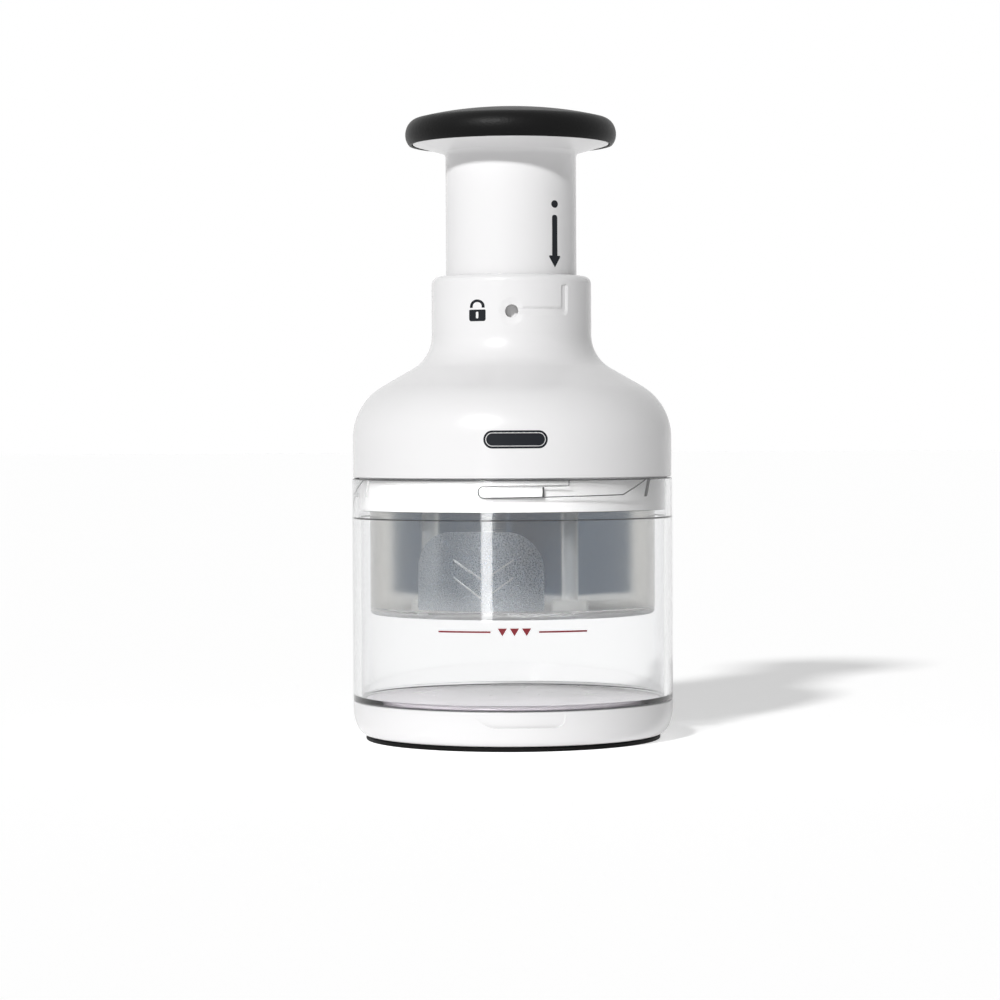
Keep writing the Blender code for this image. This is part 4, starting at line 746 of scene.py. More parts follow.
def make_foot_ring():
    """Non-slip ring with a holding rib on top and fine tread grooves underneath."""
    outer = FOOT_RADIUS
    inner = outer - 5.5 * MM
    rib_outer = BASE_FLAT_RADIUS - 2.0 * MM
    rib_inner = rib_outer - 2.0 * MM
    tread = []
    for radius in (outer - 1.5 * MM, outer - 2.75 * MM, outer - 4.0 * MM):
        tread += [(radius + 0.3 * MM, 0.0), (radius, 0.25 * MM), (radius - 0.3 * MM, 0.0)]
    outline = softened([
        (outer, FOOT_TOP, 0.35 * MM),
        (outer, 0.0, 0.35 * MM),
        *tread,
        (inner, 0.0, 0.3 * MM),
        (inner, FOOT_TOP, 0.3 * MM),
        (rib_inner, FOOT_TOP),
        (rib_inner, high("foot_ring"), 0.3 * MM),
        (rib_outer, high("foot_ring"), 0.3 * MM),
        (rib_outer, FOOT_TOP),
    ])
    dressed(piece_from("foot_ring_fine", spun(outline)), FOOT_BLACK, "base", "black_rubber", "foot_ring")


def make_base_cap():
    """White base with an elliptic lower corner and a thumb notch."""
    socket_outer = CUP_RADIUS - 1.6 * MM
    socket_inner = SPIGOT_INNER - 0.3 * MM
    groove = (BASE_FLAT_RADIUS - 1.7 * MM, BASE_FLAT_RADIUS - 4.3 * MM)
    groove_top = BASE_BOTTOM + 1.7 * MM
    hollow = BASE_FLAT_RADIUS - 7.5 * MM
    corner = (4.6 * MM, 9.3 * MM)
    outline = softened([
        (0.0, DECK_TOP),
        (socket_inner, DECK_TOP, 0.3 * MM),
        (socket_inner, SOCKET_FLOOR),
        (socket_outer, SOCKET_FLOOR),
        (socket_outer, BASE_TOP, 0.3 * MM),
        (CUP_RADIUS, BASE_TOP, 0.45 * MM),
        *arc((CUP_RADIUS - corner[0], BASE_BOTTOM + corner[1]), corner, 0.0, -90.0, 16),
        (groove[0], BASE_BOTTOM),
        (groove[0], groove_top),
        (groove[1], groove_top),
        (groove[1], BASE_BOTTOM),
        (hollow, BASE_BOTTOM, 0.4 * MM),
        (hollow, DECK_TOP - 2.5 * MM, 0.8 * MM),
        (0.0, DECK_TOP - 2.5 * MM),
    ], closed=False)
    cap = piece_from("base_cap_fine", spun(outline, closed=False))
    left, right = (CUP_RADIUS * math.radians(angle) for angle in NOTCH_SPAN)
    floor = BASE_TOP - NOTCH_HEIGHT
    notch = softened([
        (left - 6.0 * MM, BASE_TOP + 3.0 * MM),
        (left, BASE_TOP - 1.2 * MM, 3.0 * MM),
        (left + 6.0 * MM, floor, 9.0 * MM),
        (right, floor, 3.2 * MM),
        (right, BASE_TOP + 3.0 * MM),
    ], steps=8)
    levels = [BASE_TOP - NOTCH_HEIGHT * k / 8 for k in range(1, 8)]
    shaped(cap, wrapped(notch, 0.0, notch_floor, lambda height: CUP_RADIUS + 2.0 * MM, 1.2 * MM, levels))
    eased(cap, 0.35 * MM, 60.0)
    dressed(cap, WHITE, "base", "white_plastic", "base_cap")


def notch_floor(height):
    """Radius of the thumb notch's floor at a height: it curves inwards, down from the base's top edge."""
    share = min(1.0, max(0.0, (BASE_TOP - height) / NOTCH_HEIGHT))
    shallow, deep = NOTCH_DEPTH
    return CUP_RADIUS - shallow - (deep - shallow) * share**3


def make_chopping_pad():
    """Glossy disc with a raised lip at its edge."""
    radius = reach("chopping_pad")
    top, bottom = high("chopping_pad"), low("chopping_pad")
    outline = softened([
        (0.0, top - 0.15 * MM),
        (radius - 3.4 * MM, top - 0.15 * MM, 0.3 * MM),
        (radius - 2.9 * MM, top, 0.3 * MM),
        (radius, top, 0.4 * MM),
        (radius, bottom, 0.2 * MM),
        (0.0, bottom),
    ], closed=False)
    pad = piece_from("chopping_pad_fine", spun(outline, closed=False))
    dressed(pad, PAD_GREY, "base", "grey_plastic", "chopping_pad")


def channel_outline(radius, ramp, rise, rounding):
    """One bayonet channel: a rounded blind end, a step, a wide mouth and a ramp to the rim."""
    floor, roof = LUG_BOTTOM - 0.3 * MM, LUG_TOP + 0.3 * MM
    above = CUP_RIM + 2.0 * MM
    start, mouth, foot, end = (radius * math.radians(angle) for angle in (CHANNEL_START, MOUTH_START, *ramp))
    slope = (end - foot) / (CUP_RIM - floor - rise)
    return softened([
        (start, roof, 1.9 * MM),
        (start, floor, 1.9 * MM),
        (foot, floor + rise, rounding),
        (end + slope * 2.0 * MM, above),
        (mouth, above),
        (mouth, roof),
    ], steps=5)


def bead(name, path, radius, thickness, body):
    """A thin, dark, square bead along a path of (azimuth, height) points on a round wall: a strip of painted
    shade for a dark line that refraction draws there.
    """
    fine = [path[0]]
    for start, end in zip(path, path[1:]):
        parts = max(1, math.ceil(abs(end[0] - start[0]) / 2.0))
        fine += [tuple(Vector(start).lerp(Vector(end), k / parts)) for k in range(1, parts + 1)]
    bm = bmesh.new()
    loops = []
    half = thickness / 2
    for i, (azimuth, height) in enumerate(fine):
        before, after = Vector(fine[max(0, i - 1)]), Vector(fine[min(len(fine) - 1, i + 1)])
        run = Vector((math.radians(after.x - before.x) * radius, after.y - before.y)).normalized() * half
        turn = math.degrees(-run.y / radius)
        loops.append([
            bm.verts.new(polar(radius + side, azimuth + turn * hand, height + run.x * hand))
            for hand, side in ((1, -half), (1, half), (-1, half), (-1, -half))
        ])
    for first, second in zip(loops, loops[1:]):
        for k in range(4):
            bm.faces.new((first[k], first[(k + 1) % 4], second[(k + 1) % 4], second[k]))
    bm.faces.new(loops[0])
    bm.faces.new(loops[-1])
    bmesh.ops.recalc_face_normals(bm, faces=bm.faces)
    dressed(piece_from(name, bm), PAINTED_EDGE_SHADE, body, "clear_plastic")


def make_channel_edge_shade():
    """Painted shade: dark beads round each bayonet channel, inside the cup's wall, and at the square end of
    each lug.

    The edge runs from the mouth round the blind end and up the ramp, which is cut off below the rim.
    """
    top = CUP_RIM - 0.4 * MM
    outline = channel_outline(EDGE_RADIUS, EDGE_RAMP, EDGE_RISE, 2.0 * MM)
    path = [(math.degrees(x / EDGE_RADIUS), min(z, top)) for x, z in outline]
    path = [path[-2], path[-1], *path[:-2]]
    last = path[-1]
    share = (top - path[-2][1]) / (outline[-3][1] - path[-2][1])
    path[-1] = (path[-2][0] + (last[0] - path[-2][0]) * share, last[1])
    lug_end = LUG_SPAN[1] + 0.5
    stop = [(lug_end, LUG_BOTTOM), (lug_end, LUG_TOP)]
    for i, turn in enumerate(THIRDS):
        edge = [(azimuth + turn, height) for azimuth, height in path]
        bead(f"channel_edge_{i + 1}", edge, EDGE_RADIUS, 0.32 * MM, "cup")
        end = [(azimuth + turn, height) for azimuth, height in stop]
        bead(f"lug_end_{i + 1}", end, CUP_RIM_INNER + 0.2 * MM, 0.5 * MM, "housing")


def make_cup():
    """Clear cup: straight wall, spigot into the base, and bayonet channels inside its thin rim."""
    outline = softened([
        (CUP_RADIUS, CUP_RIM, 0.45 * MM),
        (CUP_RADIUS, CUP_SHOULDER, 0.3 * MM),
        (SPIGOT_OUTER, CUP_SHOULDER),
        (SPIGOT_OUTER, CUP_FOOT, 0.3 * MM),
        (SPIGOT_INNER, CUP_FOOT, 0.3 * MM),
        (SPIGOT_INNER, CUP_SHOULDER, 1.0 * MM),
        (CUP_INNER, CUP_SHOULDER + 1.6 * MM, 1.0 * MM),
        (CUP_INNER, CUP_LEDGE, 0.25 * MM),
        (CUP_RIM_INNER, CUP_LEDGE, 0.4 * MM),
        (CUP_RIM_INNER, CUP_RIM, 0.45 * MM),
    ])
    cup = piece_from("cup_fine", spun(outline))
    channel = channel_outline(CHANNEL_OUTER, CUT_RAMP, 0.0, 0.5 * MM)
    for turn in THIRDS:
        shaped(cup, wrapped(channel, turn, SKIRT_OUTER, CHANNEL_OUTER, 2.0 * MM))
    eased(cup, 0.3 * MM, 60.0, 1)
    dressed(cup, CLEAR, "cup", "clear_plastic", "cup")
    # Painted shade: the cup's edges get the dark clear plastic
    painted(cup, PAINTED_EDGE_SHADE, cup_edge_shade)


def cup_edge_shade(radius, height, outward):
    """The rim, the ledge, the spigot and the step above it, painted dark as painted shade for the dark lines
    that refraction draws at the clear wall's edges.
    """
    on_rim = height > CUP_RIM - 0.42 * MM
    on_ledge = abs(height - CUP_LEDGE) < 0.3 * MM and radius < CHANNEL_OUTER and abs(outward) < 0.95
    on_foot = height < CUP_SHOULDER + 0.3 * MM and radius > SPIGOT_INNER
    above = height - CUP_SHOULDER
    on_step = 0.8 * MM < above < 2.3 * MM and radius < CUP_INNER + 0.05 * MM and outward > -0.97
    return on_rim or on_ledge or on_foot or on_step


def make_inner_frame():
    """White frame: skirt with bayonet lugs, guard hooks, plate, chimney with lock ledges, core guide."""
    neck_inner = NECK_RADIUS - SHELL_WALL
    chimney_outer = neck_inner - 0.3 * MM
    chimney_inner = chimney_outer - 1.2 * MM
    guide_outer, guide_inner = 11.0 * MM, 9.0 * MM
    guide_top = PLATE_TOP + 23.5 * MM
    outline = softened([
        (SKIRT_OUTER, PLATE_TOP, 0.3 * MM),
        (SKIRT_OUTER, SKIRT_BOTTOM, 0.4 * MM),
        (SKIRT_INNER, SKIRT_BOTTOM, 0.4 * MM),
        (SKIRT_INNER, PLATE_BOTTOM, 0.8 * MM),
        (guide_inner, PLATE_BOTTOM, 0.3 * MM),
        (guide_inner, guide_top, 0.4 * MM),
        (guide_outer, guide_top, 0.4 * MM),
        (guide_outer, PLATE_TOP, 1.0 * MM),
        (chimney_inner, PLATE_TOP, 0.3 * MM),
        (chimney_inner, CHIMNEY_TOP, 0.3 * MM),
        (chimney_outer, CHIMNEY_TOP, 0.3 * MM),
        (chimney_outer, PLATE_TOP, 1.0 * MM),
    ])
    piece = piece_from("inner_frame_fine", spun(outline))
    lug_outer = CHANNEL_OUTER - 0.3 * MM
    start, end = (lug_outer * math.radians(angle) for angle in LUG_SPAN)
    lug = panel(start, end, LUG_BOTTOM, LUG_TOP, (1.6 * MM, 0.2 * MM, 0.2 * MM, 1.6 * MM), 6)
    hook_half = 9.8 * MM
    hook = panel(-hook_half, hook_half, SKIRT_BOTTOM + 0.2 * MM, SKIRT_BOTTOM + 1.3 * MM)
    ledge_foot = TUBE_BOTTOM - 32.2 * MM
    ledge_half = 3.4 * MM
    ledge = panel(-ledge_half, ledge_half, ledge_foot, ledge_foot + 2.0 * MM)
    for turn in THIRDS:
        for outline, azimuth, inner, outer, step in (
            (lug, turn, SKIRT_OUTER - 0.5 * MM, lug_outer, 2.0 * MM),
            (hook, turn + 60.0, GUARD_OUTER + 0.4 * MM, SKIRT_INNER + 0.5 * MM, 2.0 * MM),
            (ledge, turn, TUBE_RADIUS + 0.4 * MM, chimney_inner + 0.4 * MM, 1.0 * MM),
        ):
            shaped(piece, wrapped(outline, azimuth, inner, outer, step), "UNION")
    for turn in THIRDS:
        for radius, circle, azimuth in (
            (PILOT_RADIUS, BOSS_CIRCLE, turn + 60.0),
            (PLATE_HOLE_RADIUS, PLATE_HOLE_CIRCLE, turn),
        ):
            hole = pin(radius, PLATE_BOTTOM - MM, PLATE_TOP + MM)
            shaped(piece, moved(hole, polar(circle, azimuth)))
    keyway = block((2.6 * MM, 10.1 * MM, 40.0 * MM), (0.0, 5.05 * MM, PLATE_TOP + 11.0 * MM), 0.05 * MM, 1)
    shaped(piece, keyway)
    dressed(piece, INNER_WHITE, "housing", "white_plastic", "inner_frame")
    # Painted shade: a dark line along the skirt's lower edge
    painted(piece, PAINTED_EDGE_SHADE, skirt_edge_shade)


def skirt_edge_shade(radius, height, outward):
    """The skirt's lower outer corner, painted dark as painted shade for the shadowed gap below it, seen
    through the cup.
    """
    return height < SKIRT_BOTTOM + 0.28 * MM and outward > 0.1


def pin(radius, bottom, top, facets=SMALL_ROUND):
    """An upright cylinder on the axis."""
    return spun([(0.0, top), (radius, top), (radius, bottom), (0.0, bottom)], facets, closed=False)


def make_housing_shell():
    """White bottle-shaped shell, with screw bosses, a dished sight hole and the lock path's groove."""
    mouth = TUBE_RADIUS + 0.6 * MM
    lip_bottom = COLLAR_TOP - SHELL_WALL
    collar_centre = (NECK_RADIUS - COLLAR_ROUND, COLLAR_TOP - COLLAR_ROUND)
    outline = softened([
        (mouth, COLLAR_TOP, 0.3 * MM),
        *arc(collar_centre, (COLLAR_ROUND, COLLAR_ROUND), 90.0, 0.0, 8),
        *shell_side(0.0, 18),
        (SHELL_RADIUS, SHELL_BOTTOM, 0.35 * MM),
        (SHELL_RADIUS - SHELL_WALL, SHELL_BOTTOM, 0.35 * MM),
        *reversed(shell_side(SHELL_WALL, 10)),
        (NECK_RADIUS - SHELL_WALL, lip_bottom),
        (mouth, lip_bottom, 0.2 * MM),
    ])
    shell = piece_from("housing_shell_fine", spun(outline, 180))
    form = [(0.0, lip_bottom), *shell_side(SHELL_WALL / 2, 10)]
    form += [(SHELL_RADIUS - SHELL_WALL / 2, SHELL_BOTTOM), (0.0, SHELL_BOTTOM)]
    for turn in THIRDS:
        place = polar(BOSS_CIRCLE, turn + 60.0)
        boss = piece_from("boss", moved(pin(3.4 * MM, PLATE_TOP + 0.3 * MM, COLLAR_TOP), place))
        shaped(boss, spun(form, closed=False), "INTERSECT")
        shaped(boss, moved(pin(PILOT_RADIUS, PLATE_TOP, PLATE_BOTTOM + 10.3 * MM), place))
        bm = bmesh.new()
        bm.from_mesh(boss.data)
        bpy.data.objects.remove(boss)
        shaped(shell, bm, "UNION")
    shaped(shell, dish_tool())
    shaped(shell, level_drill())
    for half, depth in ((1.5 * MM, 0.12 * MM), (1.2 * MM, 0.25 * MM), (0.9 * MM, 0.42 * MM)):
        shaped(shell, wrapped(lock_path(half), 0.0, NECK_RADIUS - depth, NECK_RADIUS + 1.0 * MM, 1.0 * MM))
    eased(shell, 0.4 * MM, 28.0, 3)
    dressed(shell, WHITE, "housing", "white_plastic", "housing_shell")


def dish_tool():
    """A squat ball that hollows the shallow dish round the sight hole."""
    bm = bmesh.new()
    bmesh.ops.create_uvsphere(bm, u_segments=96, v_segments=64, radius=1.0)
    size = Vector((22.0, 17.5, 17.5)) * MM
    bmesh.ops.scale(bm, verts=bm.verts, vec=size)
    return moved(bm, (0.0, 0.7 * MM - NECK_RADIUS - size.y, HOLE_HEIGHT))


def level_drill():
    """A level drill through the front at the sight hole."""
    drill = turned(pin(HOLE_RADIUS, -6.0 * MM, 6.0 * MM), 90.0, "X")
    return moved(drill, (0.0, -NECK_RADIUS, HOLE_HEIGHT))


def lock_path(half):
    """Outline of the groove that runs right from the dish and then up to the collar, with its half width."""
    start = NECK_RADIUS * math.radians(6.0)
    upright = NECK_RADIUS * math.radians(LOCK_TURN)
    top = COLLAR_TOP - 3.5 * MM
    return softened([
        (start, HOLE_HEIGHT - half),
        (upright + half, HOLE_HEIGHT - half, 2.0 * MM),
        (upright + half, top, 0.8 * MM),
        (upright - half, top, 0.8 * MM),
        (upright - half, HOLE_HEIGHT + half, 0.5 * MM),
        (start, HOLE_HEIGHT + half),
    ], steps=5)


def make_knob_sleeve():
    """Knob underside and plunger tube in one, with lock lugs at the lower end."""
    slope = math.radians(FLARE_SLOPE)
    fillet = 2.0 * MM
    corner = fillet * math.tan((math.pi / 2 - slope) / 2)
    centre = (TUBE_RADIUS + fillet, FLARE_ROOT - corner)
    shelf_top = FLARE_TOP - 3.5 * MM
    shelf_inner = TUBE_INNER - 3.4 * MM
    outline = softened([
        (FLARE_RADIUS, FLARE_TOP, 0.2 * MM),
        (FLARE_RADIUS, FLARE_EDGE, 0.6 * MM),
        *arc(centre, (fillet, fillet), 90.0 + FLARE_SLOPE, 180.0, 6),
        (TUBE_RADIUS, TUBE_BOTTOM, 0.4 * MM),
        (TUBE_INNER, TUBE_BOTTOM, 0.4 * MM),
        (TUBE_INNER, shelf_top - 2.0 * MM, 0.4 * MM),
        (shelf_inner, shelf_top - 2.0 * MM, 0.3 * MM),
        (shelf_inner, shelf_top, 0.3 * MM),
        (TUBE_INNER, shelf_top),
        (TUBE_INNER, FLARE_TOP, 0.2 * MM),
    ])
    sleeve = piece_from("knob_sleeve_fine", spun(outline))
    lug_outer = TUBE_RADIUS + 1.3 * MM
    half = lug_outer * math.radians(8.0)
    lug = panel(-half, half, TUBE_BOTTOM + 0.2 * MM, TUBE_BOTTOM + 3.5 * MM, (0.4 * MM,) * 4)
    for turn in THIRDS:
        shaped(sleeve, wrapped(lug, turn + LOCK_TURN, TUBE_RADIUS - MM, lug_outer, 1.0 * MM), "UNION")
        pilot = pin(PILOT_RADIUS, FLARE_TOP - 4.4 * MM, FLARE_TOP + MM)
        shaped(sleeve, moved(pilot, polar(26.5 * MM, turn)))
    dressed(sleeve, WHITE, "knob", "white_plastic", "knob_sleeve")


def make_grip_pad():
    """Soft domed cap, drawn down round the flare's edge to a full bead."""
    inner = FLARE_RADIUS + 0.3 * MM
    outer = GRIP_RADIUS
    thick, above, below = 4.4 * MM, 5.4 * MM, 4.9 * MM
    centre = (outer - thick, FLARE_EDGE + 3.2 * MM)
    edge = arc(centre, (thick, above), 75.0, 0.0, 14) + arc(centre, (thick, below), 0.0, -45.0, 10)[1:]
    rim_radius, rim_height = edge[0]
    sag = GRIP_PEAK - rim_height
    dome = [(rim_radius * k / 12, GRIP_PEAK - sag * (k / 12) ** 2.2) for k in range(12)]
    outline = softened([
        *dome,
        *edge,
        (inner, edge[-1][1], 0.3 * MM),
        (inner, GRIP_BOTTOM, 0.5 * MM),
        (0.0, GRIP_BOTTOM),
    ], closed=False)
    grip = piece_from("grip_pad_fine", spun(outline, closed=False))
    dressed(grip, GRIP_BLACK, "knob", "black_rubber", "grip_pad")


def blade_path(side, spare=0.0):
    """Plan of one zigzag blade with rounded folds: side -1 is the front one, +1 the rear one.

    A spare length is added beyond both tips.
    """
    fold = 1.6 * MM
    tip = Vector(BLADE_TIP)
    tip += (tip - Vector(BLADE_FOLD)).normalized() * spare
    corners = [
        (-tip.x, -tip.y),
        (-BLADE_FOLD[0], -BLADE_FOLD[1], fold),
        (0.0, -BLADE_MIDDLE, fold),
        (BLADE_FOLD[0], -BLADE_FOLD[1], fold),
        (tip.x, -tip.y),
    ]
    return [(-side * x, -side * y) for x, y in softened(corners, closed=False, steps=5)]


def blade_section(half, bottom, top, ground):
    """Section of a blade: flat sides and a ground V at its lower edge."""
    tip = 0.06 * MM
    return [
        (-half, top),
        (half, top),
        (half, bottom + ground),
        (tip, bottom),
        (-tip, bottom),
        (-half, bottom + ground),
    ]


def make_blades():
    """Two folded strips of stainless steel with a ground cutting edge."""
    section = blade_section(BLADE_THICKNESS / 2, BLADE_EDGE, BLADE_TOP, 2.2 * MM)
    for name, side in (("front", -1), ("rear", 1)):
        blade = piece_from(f"blade_{name}_fine", turned(swept_wall(blade_path(side), section), UNIT_TURN))
        dressed(blade, BLADE_STEEL, "blade_unit", "steel", f"blade_{name}")
        painted(blade, EDGE_STEEL, lambda radius, height, outward: height < BLADE_EDGE + 2.0 * MM)


def post_places():
    """Centres of the guard's four posts."""
    return [(x, y) for x in (-BLADE_FOLD[0], BLADE_FOLD[0]) for y in (-POST_Y, POST_Y)]


def make_blade_guard():
    """Clear guard: a ring hung by its flange, a slotted floor and four footed posts."""
    flange_outer = SKIRT_INNER - 0.4 * MM
    flange_top = FLANGE_BOTTOM + 1.2 * MM
    outline = softened([
        (0.0, GUARD_FLOOR_TOP),
        (GUARD_INNER, GUARD_FLOOR_TOP, 0.8 * MM),
        (GUARD_INNER, GUARD_TOP, 0.4 * MM),
        (GUARD_OUTER, GUARD_TOP, 0.4 * MM),
        (GUARD_OUTER, flange_top),
        (flange_outer, flange_top, 0.3 * MM),
        (flange_outer, FLANGE_BOTTOM, 0.3 * MM),
        (GUARD_OUTER, FLANGE_BOTTOM),
        (GUARD_OUTER, GUARD_BOTTOM, 1.5 * MM),
        (0.0, GUARD_BOTTOM),
    ], closed=False, steps=5)
    guard = piece_from("blade_guard_fine", spun(outline, closed=False))
    floor_middle = GUARD_FLOOR_TOP - 1.0 * MM
    for x, y in post_places():
        foot = block((11.0 * MM, 6.2 * MM, 5.0 * MM), (x, y, floor_middle + 2.5 * MM), 0.4 * MM)
        post = moved(pin(POST_RADIUS, floor_middle, POST_TOP), (x, y, 0.0))
        shaped(guard, foot, "UNION")
        shaped(guard, post, "UNION")
    slot = 1.1 * MM
    section = [
        (-slot, GUARD_FLOOR_TOP + 6.0 * MM),
        (slot, GUARD_FLOOR_TOP + 6.0 * MM),
        (slot, GUARD_BOTTOM - 2.0 * MM),
        (-slot, GUARD_BOTTOM - 2.0 * MM),
    ]
    for side in (-1, 1):
        shaped(guard, swept_wall(blade_path(side, 1.2 * MM), section))
    guard.data.transform(Matrix.Rotation(math.radians(UNIT_TURN), 4, "Z"))
    dressed(guard, GUARD_CLEAR, "guard", "frosted_plastic", "blade_guard")
    painted(guard, POST_FROST, post_face)


def post_face(radius, height, outward):
    """The posts and their feet inside the ring, and the floor with its round lower edge."""
    on_post = height > GUARD_FLOOR_TOP and radius < GUARD_INNER - 1.2 * MM
    return on_post or height < GUARD_FLOOR_TOP + 0.1 * MM


def make_grip_patch():
    """Raised grained patch on the guard, with two ribs in the shape of a V pointing down."""
    half = GUARD_OUTER * math.sin(math.radians(PATCH_SPAN / 2))
    bottom, top = GUARD_BOTTOM + 3.0 * MM, GUARD_BOTTOM + 28.6 * MM
    outline = panel(-half, half, bottom, top, (0.8 * MM, 0.8 * MM, 13.5 * MM, 13.5 * MM), 12)
    face = GUARD_OUTER + 0.4 * MM
    azimuth = PATCH_AZIMUTH + UNIT_TURN
    patch = piece_from("grip_patch", wrapped(outline, azimuth, GUARD_OUTER + 0.02 * MM, face))
    eased(patch, 0.15 * MM, 60.0)
    dressed(patch, PATCH, "guard", "frosted_plastic")
    levels = (("upper", bottom + 10.3 * MM, 6.3 * MM), ("lower", bottom + 4.1 * MM, 6.8 * MM))
    for level, apex, rise in levels:
        for hand, mirror in (("left", -1.0), ("right", 1.0)):
            near, far, half = 0.5 * MM * mirror, 9.8 * MM * mirror, 0.25 * MM
            rib = [
                (near, apex - half),
                (far, apex + rise - half),
                (far, apex + rise + half),
                (near, apex + half),
            ]
            bar = wrapped(rib, RIBS_AZIMUTH + UNIT_TURN, face + 0.01 * MM, face + 0.35 * MM)
            dressed(piece_from(f"patch_rib_{level}_{hand}", bar), POST_FROST, "guard", "frosted_plastic")


def make_spring(name, node, body, radius, wire, turns):
    """A wound compression spring with closed ends."""
    bottom, top = low(node), high(node)
    dead_pitch = wire + DEAD_GAP
    first, last = bottom + wire / 2, top - wire / 2
    live_pitch = (last - first - 2 * dead_pitch) / (turns - 2)
    points_per_turn = 32
    curve = bpy.data.curves.new(name, "CURVE")
    curve.dimensions = "3D"
    curve.bevel_depth = wire / 2
    curve.bevel_resolution = 3
    curve.use_fill_caps = True
    spline = curve.splines.new("POLY")
    spline.points.add(turns * points_per_turn)
    for i, point in enumerate(spline.points):
        turn = i / points_per_turn
        live = min(max(turn - 1.0, 0.0), turns - 2.0)
        height = first + live_pitch * live + dead_pitch * (turn - live)
        point.co = (*polar(radius, 360.0 * turn, height), 1.0)
    wound = added(name, curve)
    mesh = worked_out(wound)
    bpy.data.objects.remove(wound)
    spring = added(name, mesh)
    mesh.materials.clear()
    mesh.materials.append(SPRING_STEEL)
    mesh.shade_smooth()
    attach(spring, body)
    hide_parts(node)
    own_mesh(spring)


def make_springs():
    """Return spring under the core's disc, and the buffer spring inside the core."""
    make_spring(
        "return_coil", "return_spring", "housing", SPRING_RADIUS, SPRING_WIRE, SPRING_TURNS,
    )
    make_spring(
        "buffer_coil", "buffer_spring", "plunger", BUFFER_RADIUS, BUFFER_WIRE, BUFFER_TURNS,
    )


def printed(name, outline, azimuth, radius, material, body, step=0.8 * MM):
    """A thin print on a round surface; the radius is a number or a function of the height."""
    def inner(height):
        return (radius(height) if callable(radius) else radius) + 0.01 * MM

    def outer(height):
        return inner(height) + INK_THICKNESS

    mark = piece_from(name, wrapped(outline, azimuth, inner, outer, step))
    slot = "black_rubber" if material is INK else "white_plastic"
    dressed(mark, material, body, slot)


def make_tube_marks():
    """Dot and down arrow on the plunger tube, over the lock position."""
    azimuth = 41.0
    dot_height = 178.8 * MM
    tip, tail, head = 157.8 * MM, 175.2 * MM, 161.7 * MM
    dot = arc((0.0, dot_height), (1.45 * MM, 1.25 * MM), 0.0, 345.0, 23)
    printed("tube_dot", dot, azimuth, TUBE_RADIUS, INK, "knob")
    arrow = softened([
        (0.0, tip),
        (2.75 * MM, head, 0.3 * MM),
        (1.15 * MM, head),
        (1.15 * MM, tail, 0.9 * MM),
        (-1.15 * MM, tail, 0.9 * MM),
        (-1.15 * MM, head),
        (-2.75 * MM, head, 0.3 * MM),
    ], steps=4)
    printed("tube_arrow", arrow, azimuth, TUBE_RADIUS, INK, "knob")


def make_lock_mark():
    """Padlock left of the sight hole: body, raised shackle and keyhole."""
    azimuth = -25.0
    body_bottom, body_top = 139.8 * MM, 143.6 * MM
    half = 3.0 * MM
    body = panel(-half, half, body_bottom, body_top, (0.7 * MM, 0.7 * MM, 0.4 * MM, 0.4 * MM))
    printed("lock_body", body, azimuth, NECK_RADIUS, INK, "housing")
    crown = (0.0, 144.7 * MM)
    outer, inner = 2.65 * MM, 1.65 * MM
    shackle = [
        (outer, crown[1] - 0.5 * MM),
        *arc(crown, (outer, outer * 0.85), 0.0, 180.0, 16),
        (-outer, crown[1] - 0.5 * MM),
        (-inner, crown[1] - 0.5 * MM),
        *arc(crown, (inner, inner * 0.85), 180.0, 0.0, 12),
        (inner, crown[1] - 0.5 * MM),
    ]
    printed("lock_shackle", shackle, azimuth, NECK_RADIUS, INK, "housing")
    key_half = 0.45 * MM
    key = panel(-key_half, key_half, body_bottom + 0.9 * MM, body_top - 0.7 * MM, (0.4 * MM,) * 4)
    printed("lock_keyhole", key, azimuth, NECK_RADIUS + INK_THICKNESS, PALE_INK, "housing")


def make_badge():
    """Plain dark bar with round ends on the shell's front, and a thin pale line inside its edge."""
    middle = 100.8 * MM
    for name, half, rise, radius, material in (
        ("badge", 10.4 * MM, 2.9 * MM, shell_radius, INK),
        ("badge_line", 9.7 * MM, 2.2 * MM, lambda z: shell_radius(z) + INK_THICKNESS, PALE_INK),
        ("badge_face", 9.5 * MM, 2.0 * MM, lambda z: shell_radius(z) + 2 * INK_THICKNESS, INK),
    ):
        straight = half - rise
        outline = [
            *arc((straight, middle), (rise, rise), -90.0, 90.0, 16),
            *arc((-straight, middle), (rise, rise), 90.0, 270.0, 16),
        ]
        printed(name, outline, 1.0, radius, material, "housing")


def make_fill_mark():
    """Red fill line on the cup, broken by three small triangles."""
    half_line = 0.28 * MM
    for name, start, end in (("left", -25.1 * MM, -7.4 * MM), ("right", 8.2 * MM, 24.6 * MM)):
        line = panel(start, end, FILL_HEIGHT - half_line, FILL_HEIGHT + half_line)
        printed(f"fill_line_{name}", line, 0.0, CUP_RADIUS, RED_INK, "cup", step=2.0 * MM)
    for i, across in enumerate((-3.6 * MM, 0.3 * MM, 4.2 * MM)):
        mark = [
            (across, FILL_HEIGHT - 1.3 * MM),
            (across + 1.5 * MM, FILL_HEIGHT + 1.2 * MM),
            (across - 1.5 * MM, FILL_HEIGHT + 1.2 * MM),
        ]
        printed(f"fill_mark_{i + 1}", mark, 0.0, CUP_RADIUS, RED_INK, "cup")


def finish_kept_nodes():
    """Materials of the CAD nodes that keep their shape."""
    finishes = {
        "collar_bush": INNER_WHITE,
        "index_ring": GREY,
        "index_rotor": GREY,
        "bumper_ring": BUMPER_BLACK,
        "plunger_core": INNER_WHITE,
        "buffer_plug": INNER_WHITE,
        "knob_plate": INNER_WHITE,
        "blade_carrier": INNER_WHITE,
        "blade_shaft": SHAFT_STEEL,
        "thrust_washer": SHAFT_STEEL,
    }
    for name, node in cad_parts.items():
        material = SCREW_STEEL if "screw" in name else finishes.get(name)
        if material is None:
            continue
        for slot in node.material_slots:
            slot.material = material


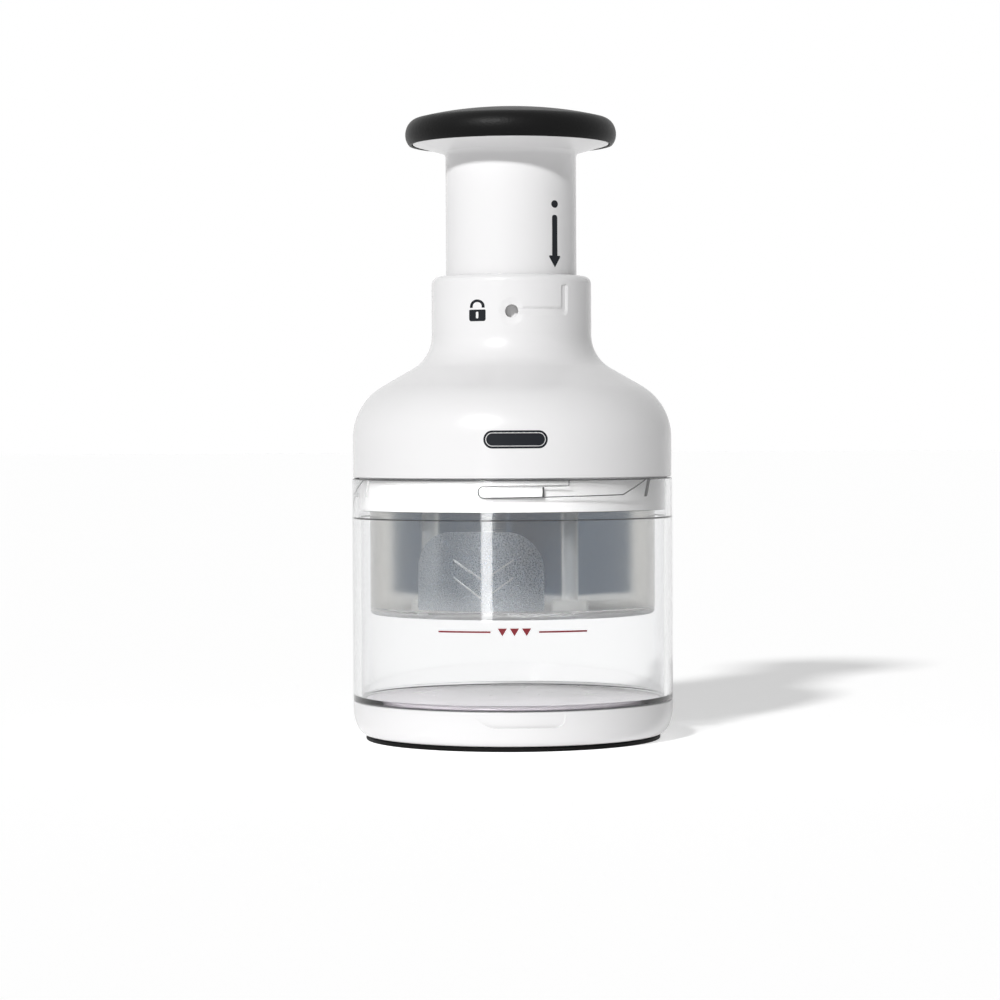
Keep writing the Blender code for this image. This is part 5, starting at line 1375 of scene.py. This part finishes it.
def make_stage():
    """Pale floor that keeps the shadow and shows white to the eye."""
    bm = bmesh.new()
    bmesh.ops.create_grid(bm, x_segments=1, y_segments=1, size=FLOOR_SIZE / 2)
    floor = piece_from("studio_floor", bm)
    material, tree, shader = blank_material("floor_paper")
    skin = placed_skin(tree, (0.9, 0.9, 0.9), 0.01, 0.8, 0.05, 4.0, 400.0)
    tree.links.new(skin.outputs["Colour"], shader.inputs["Base Color"])
    tree.links.new(skin.outputs["Roughness"], shader.inputs["Roughness"])
    shader.inputs["Specular IOR Level"].default_value = 0.0
    glow = tree.nodes.new("ShaderNodeEmission")
    lift = maths(tree, "MULTIPLY", seen(tree), FLOOR_GLOW - FLOOR_BOUNCE)
    tree.links.new(maths(tree, "ADD", lift, FLOOR_BOUNCE), glow.inputs["Strength"])
    both = tree.nodes.new("ShaderNodeAddShader")
    tree.links.new(shader.outputs["BSDF"], both.inputs[0])
    tree.links.new(glow.outputs["Emission"], both.inputs[1])
    tree.links.new(both.outputs["Shader"], tree.nodes["Material Output"].inputs["Surface"])
    floor.data.materials.append(material)


def seen(tree):
    """1 for camera, mirror and clear-plastic rays that have met no matt surface, else 0."""
    path = tree.nodes.new("ShaderNodeLightPath")
    first = maths(tree, "ADD", path.outputs["Is Camera Ray"], path.outputs["Is Glossy Ray"])
    shown = maths(tree, "ADD", first, path.outputs["Is Transmission Ray"], clamp=True)
    return maths(tree, "SUBTRACT", shown, path.outputs["Diffuse Depth"], clamp=True)


def make_world():
    """White to the eye, and a plain soft light on the object."""
    world = bpy.data.worlds.new("studio_white")
    bpy.context.scene.world = world
    world.use_nodes = True
    tree = world.node_tree
    background = tree.nodes["Background"]
    background.inputs["Color"].default_value = (1.0, 1.0, 1.0, 1.0)
    lift = maths(tree, "MULTIPLY", seen(tree), 1.0 - AMBIENT)
    tree.links.new(maths(tree, "ADD", lift, AMBIENT), background.inputs["Strength"])


def aimed(name, light, place, target):
    """Puts a light at a place, turned towards a target."""
    stand = added(name, light)
    stand.location = place
    stand.rotation_euler = (target - place).to_track_quat("-Z", "Y").to_euler()
    return stand


def make_lamps():
    """A key light left of the camera and above, and a small low lamp that only shines in gloss."""
    middle = (CAD_BOX[0] + CAD_BOX[1]) / 2
    key = bpy.data.lights.new("key_light", "SUN")
    key.angle = math.radians(KEY_SPREAD)
    key.energy = KEY_STRENGTH
    rise = math.radians(KEY_ELEVATION)
    aimed("key_light", key, middle + polar(math.cos(rise), KEY_AZIMUTH, math.sin(rise)), middle)
    strip = bpy.data.lights.new("strip_lamp", "AREA")
    strip.shape = "RECTANGLE"
    strip.size, strip.size_y = STRIP_SIZE
    strip.energy = STRIP_POWER
    foot = polar(STRIP_DISTANCE, STRIP_AZIMUTH, STRIP_SIZE[1] / 2)
    stand = aimed("strip_lamp", strip, foot, Vector((0.0, 0.0, foot.z)))
    stand.visible_diffuse = False
    stand.visible_camera = False


def make_camera():
    """The photograph's viewpoint."""
    camera = bpy.data.cameras.new("camera")
    camera.lens = CAMERA_LENS
    camera.sensor_width = 36.0
    camera.clip_start = 0.05
    camera.clip_end = 20.0
    stand = added("camera", camera)
    stand.location = CAMERA_PLACE
    stand.rotation_euler = (math.radians(90.0 - CAMERA_DIP), math.radians(CAMERA_ROLL), 0.0)
    bpy.context.scene.camera = stand


make_camera()
make_world()
make_lamps()
make_stage()

make_foot_ring()
make_base_cap()
make_chopping_pad()
make_cup()
make_channel_edge_shade()
make_inner_frame()
make_housing_shell()
make_knob_sleeve()
make_grip_pad()
make_blades()
make_blade_guard()
make_grip_patch()
make_springs()
make_tube_marks()
make_lock_mark()
make_badge()
make_fill_mark()
finish_kept_nodes()

bpy.context.scene.view_settings.view_transform = "Standard"
